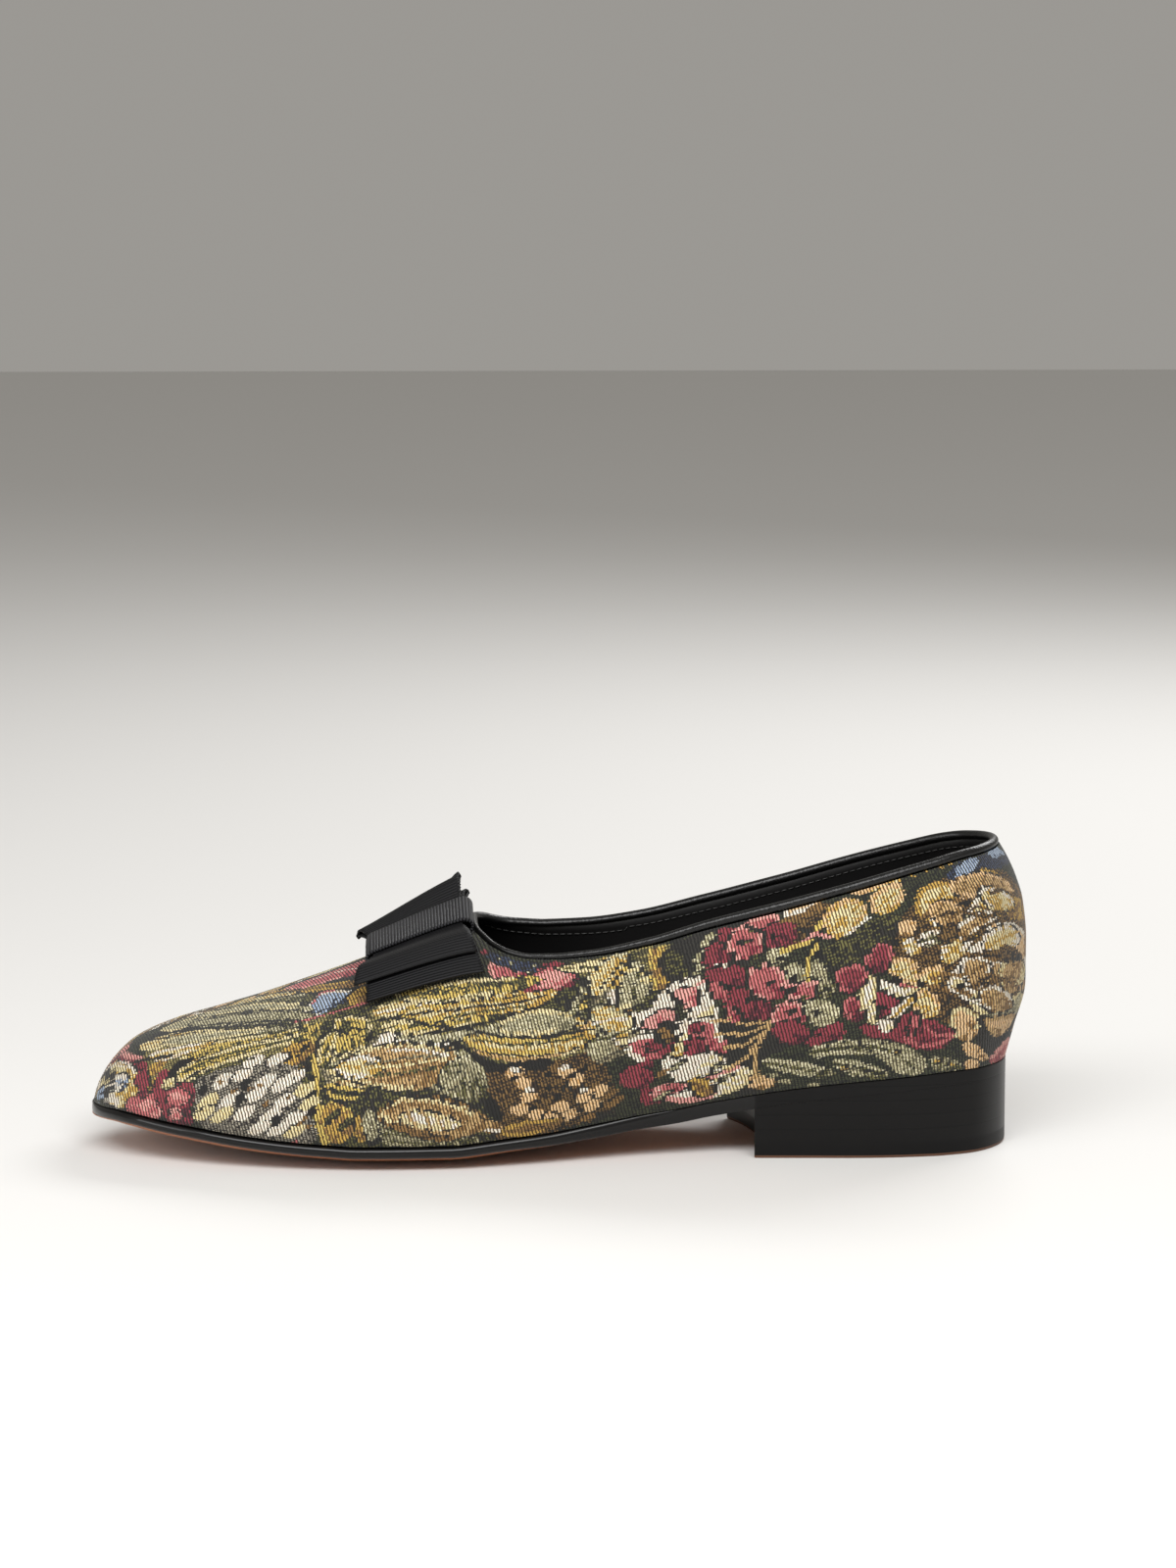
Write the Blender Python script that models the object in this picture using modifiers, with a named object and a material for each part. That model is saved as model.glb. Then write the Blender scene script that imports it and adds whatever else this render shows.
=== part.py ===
"""Opera pump for the left foot: cloth upper, ribbon bow, leather sole and low stacked heel.

The toe points to -X, the outer side of the foot is -Y, and the shoe stands on Z = 0.
A station is a share of the sole's length, from 0 at the toe to 1 at the back of the heel.
A side is -1 on the outer side of the foot and +1 on the inner side.
"""

import math

import bpy
import numpy as np

# Driving dimensions, in metres
SOLE_LENGTH = 0.2645
BALL_WIDTH = 0.080
INSTEP_HEIGHT = 0.0655
BACK_HEIGHT = 0.0868
SEAT_HEIGHT = 0.0208
TOE_SPRING = 0.0095
BACK_BULGE = 0.0055
SIDE_BULGE = 0.0024
SOLE_THICKNESS = 0.0042
SOLE_MARGIN = 0.0006
TREAD_CROWN = 0.0038
UPPER_WALL = 0.0018
BINDING_HEIGHT = 0.0027
BINDING_THICKNESS = 0.0026
INSOLE_THICKNESS = 0.0020
TOP_PIECE_THICKNESS = 0.0045
BREAST_HOLLOW = 0.0050
BREAST_SKEW = 0.0045
RIBBON_THICKNESS = 0.0006
BAND_THICKNESS = 0.0007
BAND_WIDTH = 0.0165
BAND_LENGTH = 0.0250
BOW_LENGTH = 0.0350
LOOP_SPAN = 0.0205
LOOP_HEIGHT = 0.0024
BOW_LIFT = 0.0100
BOW_OFFSET = -0.0010
CLEARANCE = 0.0003
BOW_CLEARANCE = 0.0009

# Places along the foot, as shares of the sole's length
THROAT = 0.411
OUTER_BREAST = 0.717
BOW_CENTRE = 0.361
BACK_CURVE_START = 0.70
BULGE_FADE = 0.25

# Sole outline: station, outer and inner half widths as shares of BALL_WIDTH
OUTLINE = {
    "station": (0.0, 0.012, 0.045, 0.107, 0.172, 0.256, 0.325, 0.395, 0.455, 0.535, 0.605, 0.68,
                0.75, 0.84, 0.905, 0.955, 0.986, 1.0),
    "outer": (0.0, 0.150, 0.282, 0.392, 0.458, 0.503, 0.515, 0.502, 0.466, 0.394, 0.346, 0.328,
              0.335, 0.346, 0.329, 0.272, 0.167, 0.0),
    "inner": (0.0, 0.150, 0.282, 0.388, 0.444, 0.480, 0.483, 0.462, 0.420, 0.350, 0.308, 0.308,
              0.330, 0.350, 0.334, 0.278, 0.170, 0.0),
}

# Underside of the sole on its middle line: shares of TOE_SPRING and of SEAT_HEIGHT
UNDERSIDE = {
    "station": (0.0, 0.025, 0.047, 0.068, 0.11, 0.176, 0.22, 0.26, 0.29, 0.39, 0.46, 0.50, 0.543,
                0.587, 0.63, 0.674, 0.717, 0.757, 0.813, 0.87, 0.934, 1.0),
    "toe": (1.0, 0.97, 0.85, 0.72, 0.52, 0.25, 0.13, 0.05, 0.0, 0.0, 0.0, 0.0, 0.0,
            0.0, 0.0, 0.0, 0.0, 0.0, 0.0, 0.0, 0.0, 0.0),
    "seat": (0.0, 0.0, 0.0, 0.0, 0.0, 0.0, 0.0, 0.0, 0.0, 0.0, 0.110, 0.170, 0.255,
             0.355, 0.455, 0.590, 0.690, 0.765, 0.850, 0.915, 0.980, 1.0),
}

# Sole edge: its thickness as a share of SOLE_THICKNESS, its lift as a share of TREAD_CROWN
EDGE = {
    "station": (0.0, 0.02, 0.07, 0.20, 0.30, 0.41, 0.455, 0.50, 0.55, 0.60, 0.70, 1.0),
    "thickness": (0.76, 0.78, 0.82, 0.85, 0.88, 0.90, 0.93, 0.96, 1.0, 1.0, 1.0, 1.0),
    "lift": (0.0, 0.30, 0.78, 1.0, 1.0, 0.98, 0.78, 0.60, 0.46, 0.34, 0.0, 0.0),
}

# Ridge of the last: its height as a share of INSTEP_HEIGHT, past the throat only the form's,
# and how far it stands to the inner side as a share of BALL_WIDTH
CREST = {
    "station": (0.0, 0.0064, 0.0227, 0.0465, 0.091, 0.132, 0.177, 0.242, 0.302, 0.411, 0.473,
                0.54, 0.62, 0.71, 0.81, 0.91, 1.0),
    "height": (0.185, 0.285, 0.385, 0.468, 0.543, 0.588, 0.637, 0.722, 0.807, 0.985, 1.055,
               1.18, 1.45, 1.71, 1.71, 1.62, 1.58),
    "ridge": (0.0, 0.0, 0.0, 0.01, 0.02, 0.03, 0.045, 0.065, 0.08, 0.09, 0.085,
              0.07, 0.04, 0.0, 0.0, 0.0, 0.0),
}

# Section: bulge past the feather edge, height of the widest point, and the two roundness powers
SECTION = {
    "station": (0.0, 0.05, 0.20, 0.40, 0.60, 0.75, 0.90, 1.0),
    "bulge": (0.0, 0.15, 0.50, 0.60, 0.80, 1.0, 1.0, 1.0),
    "widest": (0.02, 0.06, 0.13, 0.14, 0.16, 0.20, 0.28, 0.30),
    "width_power": (2.3, 2.3, 2.2, 2.1, 2.0, 2.0, 2.0, 2.0),
    "height_power": (2.2, 2.2, 2.1, 2.0, 2.0, 2.0, 2.0, 2.0),
}

# Cloth edge of the collar, as shares of BACK_HEIGHT, from the throat to the back
COLLAR = {
    "station": (0.411, 0.422, 0.433, 0.454, 0.476, 0.497, 0.54, 0.605, 0.669, 0.755, 0.819, 0.862,
                0.905, 0.948, 1.0),
    "outer": (0.743, 0.712, 0.692, 0.670, 0.660, 0.660, 0.670, 0.708, 0.764, 0.830, 0.884, 0.920,
              0.952, 0.980, 1.0),
    "inner": (0.743, 0.728, 0.714, 0.695, 0.686, 0.681, 0.684, 0.708, 0.750, 0.812, 0.866, 0.903,
              0.940, 0.974, 1.0),
    "binding": (0.70, 0.70, 0.70, 0.70, 0.72, 0.74, 0.78, 0.86, 0.94, 1.0, 1.0, 1.0,
                1.0, 1.0, 1.0),
}

# Back curve: height as a share of BACK_HEIGHT, distance behind the sole as a share of BACK_BULGE
BACK_CURVE = {
    "height": (0.29, 0.39, 0.54, 0.68, 0.81, 0.89, 0.95, 1.03),
    "behind": (0.0, 0.42, 1.0, 1.0, 0.80, 0.42, 0.0, -0.75),
}

# Wings of the bow, two to each pair of loops: how far each spans across the foot as a share of
# LOOP_SPAN, how far its fold reaches to toe and heel as shares of BOW_LENGTH, and how far the
# fold's two ends stand up as shares of BOW_LIFT
WINGS = {
    "wing": ("lower outer", "lower inner", "upper outer", "upper inner"),
    "span": (1.16, 1.0, 0.87, 0.83),
    "toe_reach": (0.45, 0.46, 0.52, 0.50),
    "heel_reach": (0.50, 0.40, 0.46, 0.36),
    "toe_lift": (0.0, 0.15, 0.0, 0.15),
    "heel_lift": (0.0, 0.75, 0.0, 0.85),
}

# How finely the solids are faceted
TOE_COLUMNS = 20
COLLAR_COLUMNS = 30
SIDE_ROWS = 10
SOLE_COLUMNS = 44
BINDING_SIDES = 8
LOOP_STEPS = 30
RIBBON_STEPS = 6
BAND_RUN_STEPS = 7
BAND_TURN_STEPS = 6
BAND_STEPS = 4


def smooth_value(places, values, place):
    """A monotone cubic through the rows of a table, so flat runs stay flat."""
    places, values = np.asarray(places, float), np.asarray(values, float)
    steps = np.diff(places)
    slopes = np.diff(values) / steps
    tangents = np.zeros_like(values)
    tangents[0], tangents[-1] = slopes[0], slopes[-1]
    for row in range(1, len(values) - 1):
        before, after = slopes[row - 1], slopes[row]
        if before * after > 0:
            weight = (2 * steps[row] + steps[row - 1], steps[row] + 2 * steps[row - 1])
            tangents[row] = sum(weight) / (weight[0] / before + weight[1] / after)
    row = int(np.clip(np.searchsorted(places, place) - 1, 0, len(steps) - 1))
    t = (place - places[row]) / steps[row]
    low = (1 + 2 * t) * (1 - t) ** 2 * values[row] + t * (1 - t) ** 2 * steps[row] * tangents[row]
    high = t * t * (3 - 2 * t) * values[row + 1] + t * t * (t - 1) * steps[row] * tangents[row + 1]
    return float(low + high)


def turn_of(station):
    """An angle for a station, so that a rounded toe or heel has no corner at its end."""
    return math.acos(1 - 2 * min(max(station, 0.0), 1.0))


def along(table, column, station):
    """A table's column at a station."""
    return smooth_value([turn_of(s) for s in table["station"]], table[column], turn_of(station))


def side_column(side):
    return "outer" if side < 0 else "inner"


def half_width(side, station):
    return along(OUTLINE, side_column(side), station) * BALL_WIDTH


def underside(station):
    """Height of the sole's underside on the middle line."""
    return along(UNDERSIDE, "toe", station) * TOE_SPRING + along(UNDERSIDE, "seat", station) * SEAT_HEIGHT


def edge_lift(station):
    return along(EDGE, "lift", station) * TREAD_CROWN


def feather(station):
    """Height of the edge where the upper meets the sole."""
    return underside(station) + edge_lift(station) + along(EDGE, "thickness", station) * SOLE_THICKNESS


def crest(station):
    return along(CREST, "height", station) * INSTEP_HEIGHT


def section(side, station):
    """Sizes of one side of the last's section at a station."""
    base = feather(station)
    rise = max(crest(station) - base, 0.0)
    at_feather = half_width(side, station)
    bulge = along(SECTION, "bulge", station) * SIDE_BULGE
    swell = 1 + bulge / max(at_feather, BULGE_FADE * BALL_WIDTH)
    widest = at_feather * swell
    width_power = along(SECTION, "width_power", station)
    start = -math.acos(swell ** (-width_power / 2))
    return {
        "base": base,
        "widest": widest,
        "widest_height": base + rise * along(SECTION, "widest", station),
        "top": base + rise,
        "width_power": width_power,
        "height_power": along(SECTION, "height_power", station),
        "start": start,
        "ridge": along(CREST, "ridge", station) * BALL_WIDTH,
    }


def back_shift(station, height):
    """How far the back of the last stands behind the sole's own outline at a height."""
    share = min(max((station - BACK_CURVE_START) / (1 - BACK_CURVE_START), 0.0), 1.0)
    table = BACK_CURVE["height"]
    level = min(max(height / BACK_HEIGHT, table[0]), table[-1])
    return smooth_value(table, BACK_CURVE["behind"], level) * BACK_BULGE * share ** 2


def across_section(shape, side, angle):
    """Distance across the foot of a point of the section: the ridge leans to the inner side."""
    across = side * shape["widest"] * abs(math.cos(angle)) ** (2 / shape["width_power"])
    return across + shape["ridge"] * max(math.sin(angle), 0.0) ** 3


def last_point(side, station, angle):
    """A point of the last's side, from section["start"] at the feather to a quarter turn at the crest."""
    shape = section(side, station)
    if angle < 0:
        share = 1 - math.sin(angle) / min(math.sin(shape["start"]), -1e-9)
        height = shape["base"] + (shape["widest_height"] - shape["base"]) * share
    else:
        span = shape["top"] - shape["widest_height"]
        height = shape["widest_height"] + span * math.sin(angle) ** (2 / shape["height_power"])
    along_foot = station * SOLE_LENGTH + back_shift(station, height)
    return np.array((along_foot, across_section(shape, side, angle), height))


def last_top(station, across):
    """The point of the last over a place across the foot."""
    side = -1 if across < along(CREST, "ridge", station) * BALL_WIDTH else 1
    shape = section(side, station)
    low, high = 0.0, math.pi / 2
    for _ in range(30):
        angle = (low + high) / 2
        if (across_section(shape, side, angle) - across) * side > 0:
            low = angle
        else:
            high = angle
    span = shape["top"] - shape["widest_height"]
    height = shape["widest_height"] + span * math.sin(angle) ** (2 / shape["height_power"])
    return np.array((station * SOLE_LENGTH, across, height))


def unit(vector):
    return vector / max(np.linalg.norm(vector), 1e-12)


def last_normal(side, station, angle):
    """Outward normal of the last's side."""
    station = min(max(station, 0.002), 0.998)
    angle = min(angle, math.pi / 2 - 0.02)
    lengthwise = last_point(side, station + 0.001, angle) - last_point(side, station - 0.001, angle)
    upwards = last_point(side, station, angle + 0.01) - last_point(side, station, angle - 0.01)
    return unit(np.cross(lengthwise, upwards)) * -side


def collar_angle(side, station):
    """The angle of the cloth's top edge on the section at a station past the throat."""
    if station <= THROAT:
        return math.pi / 2
    shares = [math.sqrt(max(s - THROAT, 0)) for s in COLLAR["station"]]
    level = smooth_value(shares, COLLAR[side_column(side)], math.sqrt(station - THROAT))
    shape = section(side, station)
    share = (level * BACK_HEIGHT - shape["widest_height"]) / (shape["top"] - shape["widest_height"])
    return math.asin(min(max(share, 0.0), 1.0) ** (shape["height_power"] / 2))


def toe_stations(count):
    """Stations from the toe to the throat, close together at the toe."""
    return [THROAT * (1 - math.cos(math.pi / 2 * i / count)) for i in range(count + 1)]


def collar_stations(count):
    """Stations from the throat to the back, close together at both ends."""
    turns = [math.pi * (i / count) ** 0.85 for i in range(count + 1)]
    return [THROAT + (1 - THROAT) * (1 - math.cos(turn)) / 2 for turn in turns]


def grid_faces(grid, around=False):
    """Faces between neighbouring points of a grid; around joins each row's end to its start."""
    faces = []
    for row, following in zip(grid, grid[1:]):
        count = len(row) if around else len(row) - 1
        for i in range(count):
            j = (i + 1) % len(row)
            faces.append((row[i], row[j], following[j], following[i]))
    return faces


def mesh_object(name, faces, finish, reverse=False):
    """An object from faces given by their corner points; equal corners become one vertex."""
    places, points, rings = {}, [], []
    for face in faces:
        ring = []
        for corner in face:
            key = tuple(round(float(c) * 1e7) for c in corner)
            if key not in places:
                places[key] = len(points)
                points.append(tuple(float(c) for c in corner))
            if places[key] not in ring:
                ring.append(places[key])
        if len(ring) > 2:
            rings.append(ring[::-1] if reverse else ring)
    mesh = bpy.data.meshes.new(name)
    mesh.from_pydata(points, [], rings)
    mesh.validate()
    mesh.shade_smooth()
    mesh.set_sharp_from_angle(angle=math.radians(40))
    obj = bpy.data.objects.new(name, mesh)
    obj.data.materials.append(finish)
    collection.objects.link(obj)
    obj.parent = shoe
    return obj


def solid_between(name, top, bottom, finish):
    """A solid between two grids of the same shape, closed along their border."""
    faces = [face[::-1] for face in grid_faces(top)] + grid_faces(bottom)
    borders = []
    for grid in (top, bottom):
        first, last = [row[0] for row in grid], [row[-1] for row in grid]
        borders.append(first + grid[-1][1:] + last[-2::-1] + grid[0][-2:0:-1])
    faces += [face[::-1] for face in grid_faces(borders, around=True)]
    return mesh_object(name, faces, finish)


def thicken(obj, thickness, offset):
    modifier = obj.modifiers.new("wall", "SOLIDIFY")
    modifier.thickness = thickness
    modifier.offset = offset
    modifier.use_even_offset = True
    modifier.use_quality_normals = True


def linear(hex_colour):
    """An sRGB hex colour as linear values."""
    shares = [int(hex_colour[i:i + 2], 16) / 255 for i in (1, 3, 5)]
    return [s / 12.92 if s <= 0.04045 else ((s + 0.055) / 1.055) ** 2.4 for s in shares] + [1.0]


def principled(name, hex_colour, roughness):
    material = bpy.data.materials.new(name)
    material.use_nodes = True
    shader = material.node_tree.nodes["Principled BSDF"]
    shader.inputs["Base Color"].default_value = linear(hex_colour)
    shader.inputs["Roughness"].default_value = roughness
    shader.inputs["Metallic"].default_value = 0.0
    return material


def add_upper():
    """The cloth upper with its lining: arches over the vamp, then two sides that meet at the back."""
    faces = []
    arches = []
    for station in toe_stations(TOE_COLUMNS):
        arch = []
        for side in (-1, 1):
            start = section(side, station)["start"]
            steps = [start + (math.pi / 2 - start) * i / SIDE_ROWS for i in range(SIDE_ROWS + 1)]
            half = [last_point(side, station, angle) for angle in steps]
            arch += half if side < 0 else half[-2::-1]
        arches.append(arch)
    faces += grid_faces(arches)
    for side in (-1, 1):
        columns = []
        for station in collar_stations(COLLAR_COLUMNS):
            start, end = section(side, station)["start"], collar_angle(side, station)
            steps = [start + (end - start) * i / SIDE_ROWS for i in range(SIDE_ROWS + 1)]
            columns.append([last_point(side, station, angle) for angle in steps])
        sheet = grid_faces(columns)
        faces += sheet if side < 0 else [face[::-1] for face in sheet]
    cloth = principled("tapestry_cloth", "#7c6a4a", 0.75)
    upper = mesh_object("upper", faces, cloth, reverse=True)
    thicken(upper, UPPER_WALL, -1)


def add_binding():
    """The rolled leather edge that stands on the cloth's top edge all round the collar."""
    path = []
    for side, order in ((-1, 1), (1, -1)):
        run = collar_stations(COLLAR_COLUMNS + 10)[::order]
        path += [(side, station) for station in (run if side < 0 else run[1:-1])]
    centres = []
    for side, station in path:
        angle = collar_angle(side, station)
        normal = last_normal(side, station, angle)
        centres.append((last_point(side, station, angle) - normal * UPPER_WALL / 2, normal))
    loops = []
    for i, (centre, normal) in enumerate(centres):
        forward = unit(centres[(i + 1) % len(centres)][0] - centres[i - 1][0])
        rise = unit(np.cross(normal, forward))
        half_height = along(COLLAR, "binding", path[i][1]) * BINDING_HEIGHT / 2
        middle = centre + rise * (CLEARANCE + half_height)
        turns = [2 * math.pi * k / BINDING_SIDES for k in range(BINDING_SIDES)]
        loops.append([middle + rise * math.cos(t) * half_height
                      + normal * math.sin(t) * BINDING_THICKNESS / 2 for t in turns])
    loops.append(loops[0])
    leather = principled("binding_leather", "#141210", 0.4)
    mesh_object("topline_binding", grid_faces(loops, around=True), leather)


def crown_lift(share, station):
    """Lift of the sole's underside from its flat middle to its edge."""
    return edge_lift(station) * max(0.0, (abs(share) - 0.45) / 0.55) ** 1.6


def sole_stations(count):
    return [(1 - math.cos(math.pi * i / count)) / 2 for i in range(count + 1)]


def sole_outline(side, station, inset):
    """A point's distance across, inset from the sole's own outline."""
    margin = SOLE_MARGIN * min(1.0, half_width(side, station) / (0.1 * BALL_WIDTH))
    return max(half_width(side, station) + margin - inset, 0.0)


def add_outsole():
    """The leather sole from toe to heel, with its rounded edge and its slightly crowned tread."""
    loops = []
    for station in sole_stations(SOLE_COLUMNS):
        thick = along(EDGE, "thickness", station) * SOLE_THICKNESS
        top = feather(station) - CLEARANCE
        bottom = underside(station)
        sides = {}
        for side in (-1, 1):
            full = sole_outline(side, station, 0.0)
            across = [full * share for share in (0.45, 0.75)]
            under = [(side * a, bottom + crown_lift(a / max(full, 1e-9), station)) for a in across]
            lift = bottom + edge_lift(station)
            rim = [(0.10, lift), (0.02, lift + 0.22 * thick), (0.0, lift + 0.5 * thick),
                   (0.02, lift + 0.76 * thick), (0.09, top)]
            edge = [(side * sole_outline(side, station, inset * SOLE_THICKNESS), z) for inset, z in rim]
            inside = [(side * full * 0.75, top - 0.25 * edge_lift(station)),
                      (side * full * 0.35, top - 0.7 * edge_lift(station))]
            sides[side] = under + edge + inside
        ring = sides[-1] + sides[1][::-1]
        loops.append([(station * (SOLE_LENGTH + 2 * SOLE_MARGIN) - SOLE_MARGIN, y, z) for y, z in ring])
    leather = principled("sole_leather", "#16120f", 0.35)
    mesh_object("outsole", grid_faces(loops, around=True), leather, reverse=True)


def inside_width(side, station):
    """Half the room between the upper's inner faces at the insole."""
    return max(half_width(side, station) - UPPER_WALL - 3 * CLEARANCE, 0.0)


def add_insole():
    """The insole inside the upper, dished underneath like the sole that carries it."""
    inset = UPPER_WALL + 4 * CLEARANCE
    shares = (-1.0, -0.75, -0.35, 0.0, 0.35, 0.75, 1.0)
    top, bottom = [], []
    for share in sole_stations(SOLE_COLUMNS):
        station = (inset + share * (SOLE_LENGTH - 2 * inset)) / SOLE_LENGTH
        closing = math.sin(math.pi * share) ** 0.5 if 0 < share < 1 else 0.0
        widths = {side: inside_width(side, station) * min(1.0, closing * 3) for side in (-1, 1)}
        high, low = [], []
        for across in shares:
            place = across * widths[-1 if across < 0 else 1]
            dish = 0.7 if abs(across) < 0.5 else 0.25 if abs(across) < 0.9 else 0.0
            drop = edge_lift(station) * dish if closing else 0.0
            base = feather(station)
            high.append((station * SOLE_LENGTH, place, base + INSOLE_THICKNESS))
            low.append((station * SOLE_LENGTH, place, base - drop + CLEARANCE / 3))
        top.append(high)
        bottom.append(low)
    sock = principled("insole_leather", "#15130f", 0.5)
    solid_between("insole", top, bottom, sock)


def heel_grid(height_of):
    """The heel's plan as a grid, from its hollow breast to its round back."""
    grid = []
    rows, across = 14, 10
    for i in range(rows + 1):
        row = []
        for j in range(across + 1):
            share = -math.cos(math.pi * j / across)
            front = OUTER_BREAST * SOLE_LENGTH - BREAST_SKEW * (share + 1) / 2
            front += BREAST_HOLLOW * (1 - share ** 2)
            reach = math.sin(math.pi / 2 * i / rows)
            place = front + (SOLE_LENGTH - front) * reach
            side = -1 if share < 0 else 1
            row.append((place, share * half_width(side, place / SOLE_LENGTH), height_of(place)))
        grid.append(row)
    return grid


def add_heel():
    """Stacked leather heel, cut to the sole above it, and the rubber top piece it stands on."""
    top = heel_grid(lambda place: underside(place / SOLE_LENGTH) - CLEARANCE)
    bottom = heel_grid(lambda place: TOP_PIECE_THICKNESS + CLEARANCE)
    stack = principled("heel_leather", "#12100e", 0.35)
    solid_between("heel_stack", top, bottom, stack)
    top = heel_grid(lambda place: TOP_PIECE_THICKNESS)
    bottom = heel_grid(lambda place: 0.0)
    rubber = principled("top_piece_rubber", "#1d1814", 0.6)
    solid_between("heel_top_piece", top, bottom, rubber)


def over_vamp(place_along, place_across, offset):
    """A point off the vamp's surface, from its places along and across the foot."""
    station = place_along / SOLE_LENGTH
    lengthwise = last_top(station + 0.002, place_across) - last_top(station - 0.002, place_across)
    crosswise = last_top(station, place_across + 0.001) - last_top(station, place_across - 0.001)
    return last_top(station, place_across) + unit(np.cross(lengthwise, crosswise)) * offset


def wing_row(pair, across):
    return WINGS["wing"].index(pair + (" outer" if across < 0 else " inner"))


def opening(pair, across):
    """How far the two layers of a loop lie apart at a place across the bow, and how far past the band."""
    span = WINGS["span"][wing_row(pair, across)] * LOOP_SPAN
    past_band = min(max(0.0, (abs(across) - BAND_WIDTH / 2) / (span - BAND_WIDTH / 2)), 1.0)
    pinched = RIBBON_THICKNESS + CLEARANCE
    return pinched + (LOOP_HEIGHT - pinched) * math.sin(math.pi * past_band) ** 1.5, past_band


def add_loops(name, pair, base_offset, finish):
    """A pair of loops made from one ring of ribbon, pinched together under the band."""
    rings = []
    for i in range(LOOP_STEPS):
        turn = 2 * math.pi * i / LOOP_STEPS
        row = wing_row(pair, math.cos(turn))
        across = math.cos(turn) * WINGS["span"][row] * LOOP_SPAN
        opened, past_band = opening(pair, across)
        thick = opened * math.copysign(abs(math.sin(turn)) ** 0.4, math.sin(turn)) / 2
        middle = base_offset + opened / 2
        if pair == "upper":
            middle += opening("lower", across)[0]
        ring = []
        for k in range(RIBBON_STEPS + 1):
            share = k / RIBBON_STEPS
            reach = {}
            for end in ("toe", "heel"):
                fold = WINGS[end + "_reach"][row] * BOW_LENGTH
                reach[end] = BAND_LENGTH / 2 + (fold - BAND_LENGTH / 2) * past_band ** 0.8
            place = BOW_CENTRE * SOLE_LENGTH - reach["toe"] + share * (reach["toe"] + reach["heel"])
            point = over_vamp(place, BOW_OFFSET + across, middle + thick)
            lift = WINGS["toe_lift"][row] * (1 - share) + WINGS["heel_lift"][row] * share
            point[2] += BOW_LIFT * lift * past_band ** 1.3
            ring.append(point)
        rings.append(ring)
    rings.append(rings[0])
    loops = mesh_object(name, grid_faces(rings), finish)
    thicken(loops, RIBBON_THICKNESS, 0)


def add_band(offset_low, offset_high, finish):
    """The flat knot: a band wrapped round the middle of the loops, round over their edges."""
    middle, radius = (offset_low + offset_high) / 2, (offset_high - offset_low) / 2
    path = []
    for end in (1, -1):
        run = [end * BAND_LENGTH / 2 * (-1 + 2 * k / BAND_RUN_STEPS) for k in range(1, BAND_RUN_STEPS)]
        path += [(place, middle + end * radius) for place in run]
        for k in range(BAND_TURN_STEPS + 1):
            turn = math.pi * k / BAND_TURN_STEPS
            place = end * (BAND_LENGTH / 2 + radius * math.sin(turn))
            path.append((place, middle + end * radius * math.cos(turn)))
    rings = []
    for place, offset in path + path[:1]:
        row = []
        for k in range(BAND_STEPS + 1):
            across = BOW_OFFSET + BAND_WIDTH * (k / BAND_STEPS - 0.5)
            row.append(over_vamp(BOW_CENTRE * SOLE_LENGTH + place, across, offset))
        rings.append(row)
    band = mesh_object("bow_knot", grid_faces(rings), finish)
    thicken(band, BAND_THICKNESS, 0)


def add_bow():
    """Two pairs of loops, one on the other, held by a band over the throat end of the vamp."""
    ribbon = principled("grosgrain_ribbon", "#131216", 0.7)
    layer = RIBBON_THICKNESS + CLEARANCE
    low = BOW_CLEARANCE + BAND_THICKNESS / 2
    first = low + BAND_THICKNESS / 2 + CLEARANCE + RIBBON_THICKNESS / 2
    second = first + layer + CLEARANCE
    high = second + 2 * layer + RIBBON_THICKNESS / 2 + CLEARANCE + BAND_THICKNESS / 2
    add_loops("bow_lower_loops", "lower", first, ribbon)
    add_loops("bow_upper_loops", "upper", second, ribbon)
    add_band(low, high, ribbon)


for old in list(bpy.data.objects):
    bpy.data.objects.remove(old, do_unlink=True)

collection = bpy.data.collections.new("opera_pump")
bpy.context.scene.collection.children.link(collection)
shoe = bpy.data.objects.new("shoe", None)
collection.objects.link(shoe)

add_upper()
add_binding()
add_outsole()
add_insole()
add_heel()
add_bow()

# The origin goes under the middle of the shoe
overall = SOLE_LENGTH + BACK_BULGE
widest = {side: max(half_width(side, s / 100) for s in range(100)) for side in (-1, 1)}
middle_across = (widest[1] - widest[-1]) / 2
shoe.location = (-overall / 2, -middle_across, 0.0)
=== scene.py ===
"""Opera pump for the left foot, on a pale floor in soft studio light.

The toe points to -X, the outer side of the foot is -Y and the floor is Z = 0, in metres.
A station is a share of the sole's length, from 0 at the toe to 1 at the back of the heel.
A side is -1 on the outer side of the foot and +1 on the inner side.
"""

import math

import bpy
import numpy as np
from mathutils import Matrix, Vector


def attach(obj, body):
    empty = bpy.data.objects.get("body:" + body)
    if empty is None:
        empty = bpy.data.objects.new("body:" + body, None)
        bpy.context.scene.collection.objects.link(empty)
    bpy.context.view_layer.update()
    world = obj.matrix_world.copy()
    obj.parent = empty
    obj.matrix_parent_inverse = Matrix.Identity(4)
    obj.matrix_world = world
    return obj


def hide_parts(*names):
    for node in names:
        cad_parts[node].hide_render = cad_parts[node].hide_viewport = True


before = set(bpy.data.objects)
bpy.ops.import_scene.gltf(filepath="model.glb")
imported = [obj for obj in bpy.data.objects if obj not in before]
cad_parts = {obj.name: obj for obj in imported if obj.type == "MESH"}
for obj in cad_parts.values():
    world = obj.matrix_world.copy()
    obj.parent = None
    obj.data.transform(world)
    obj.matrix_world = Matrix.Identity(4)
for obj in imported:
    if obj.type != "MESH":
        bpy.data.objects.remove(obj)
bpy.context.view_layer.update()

# Camera: a long lens a little above the shoe, square to its outer side and 1.3 m away.
# Its focal length is given in pixels of a picture 1600 pixels high.

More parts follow.
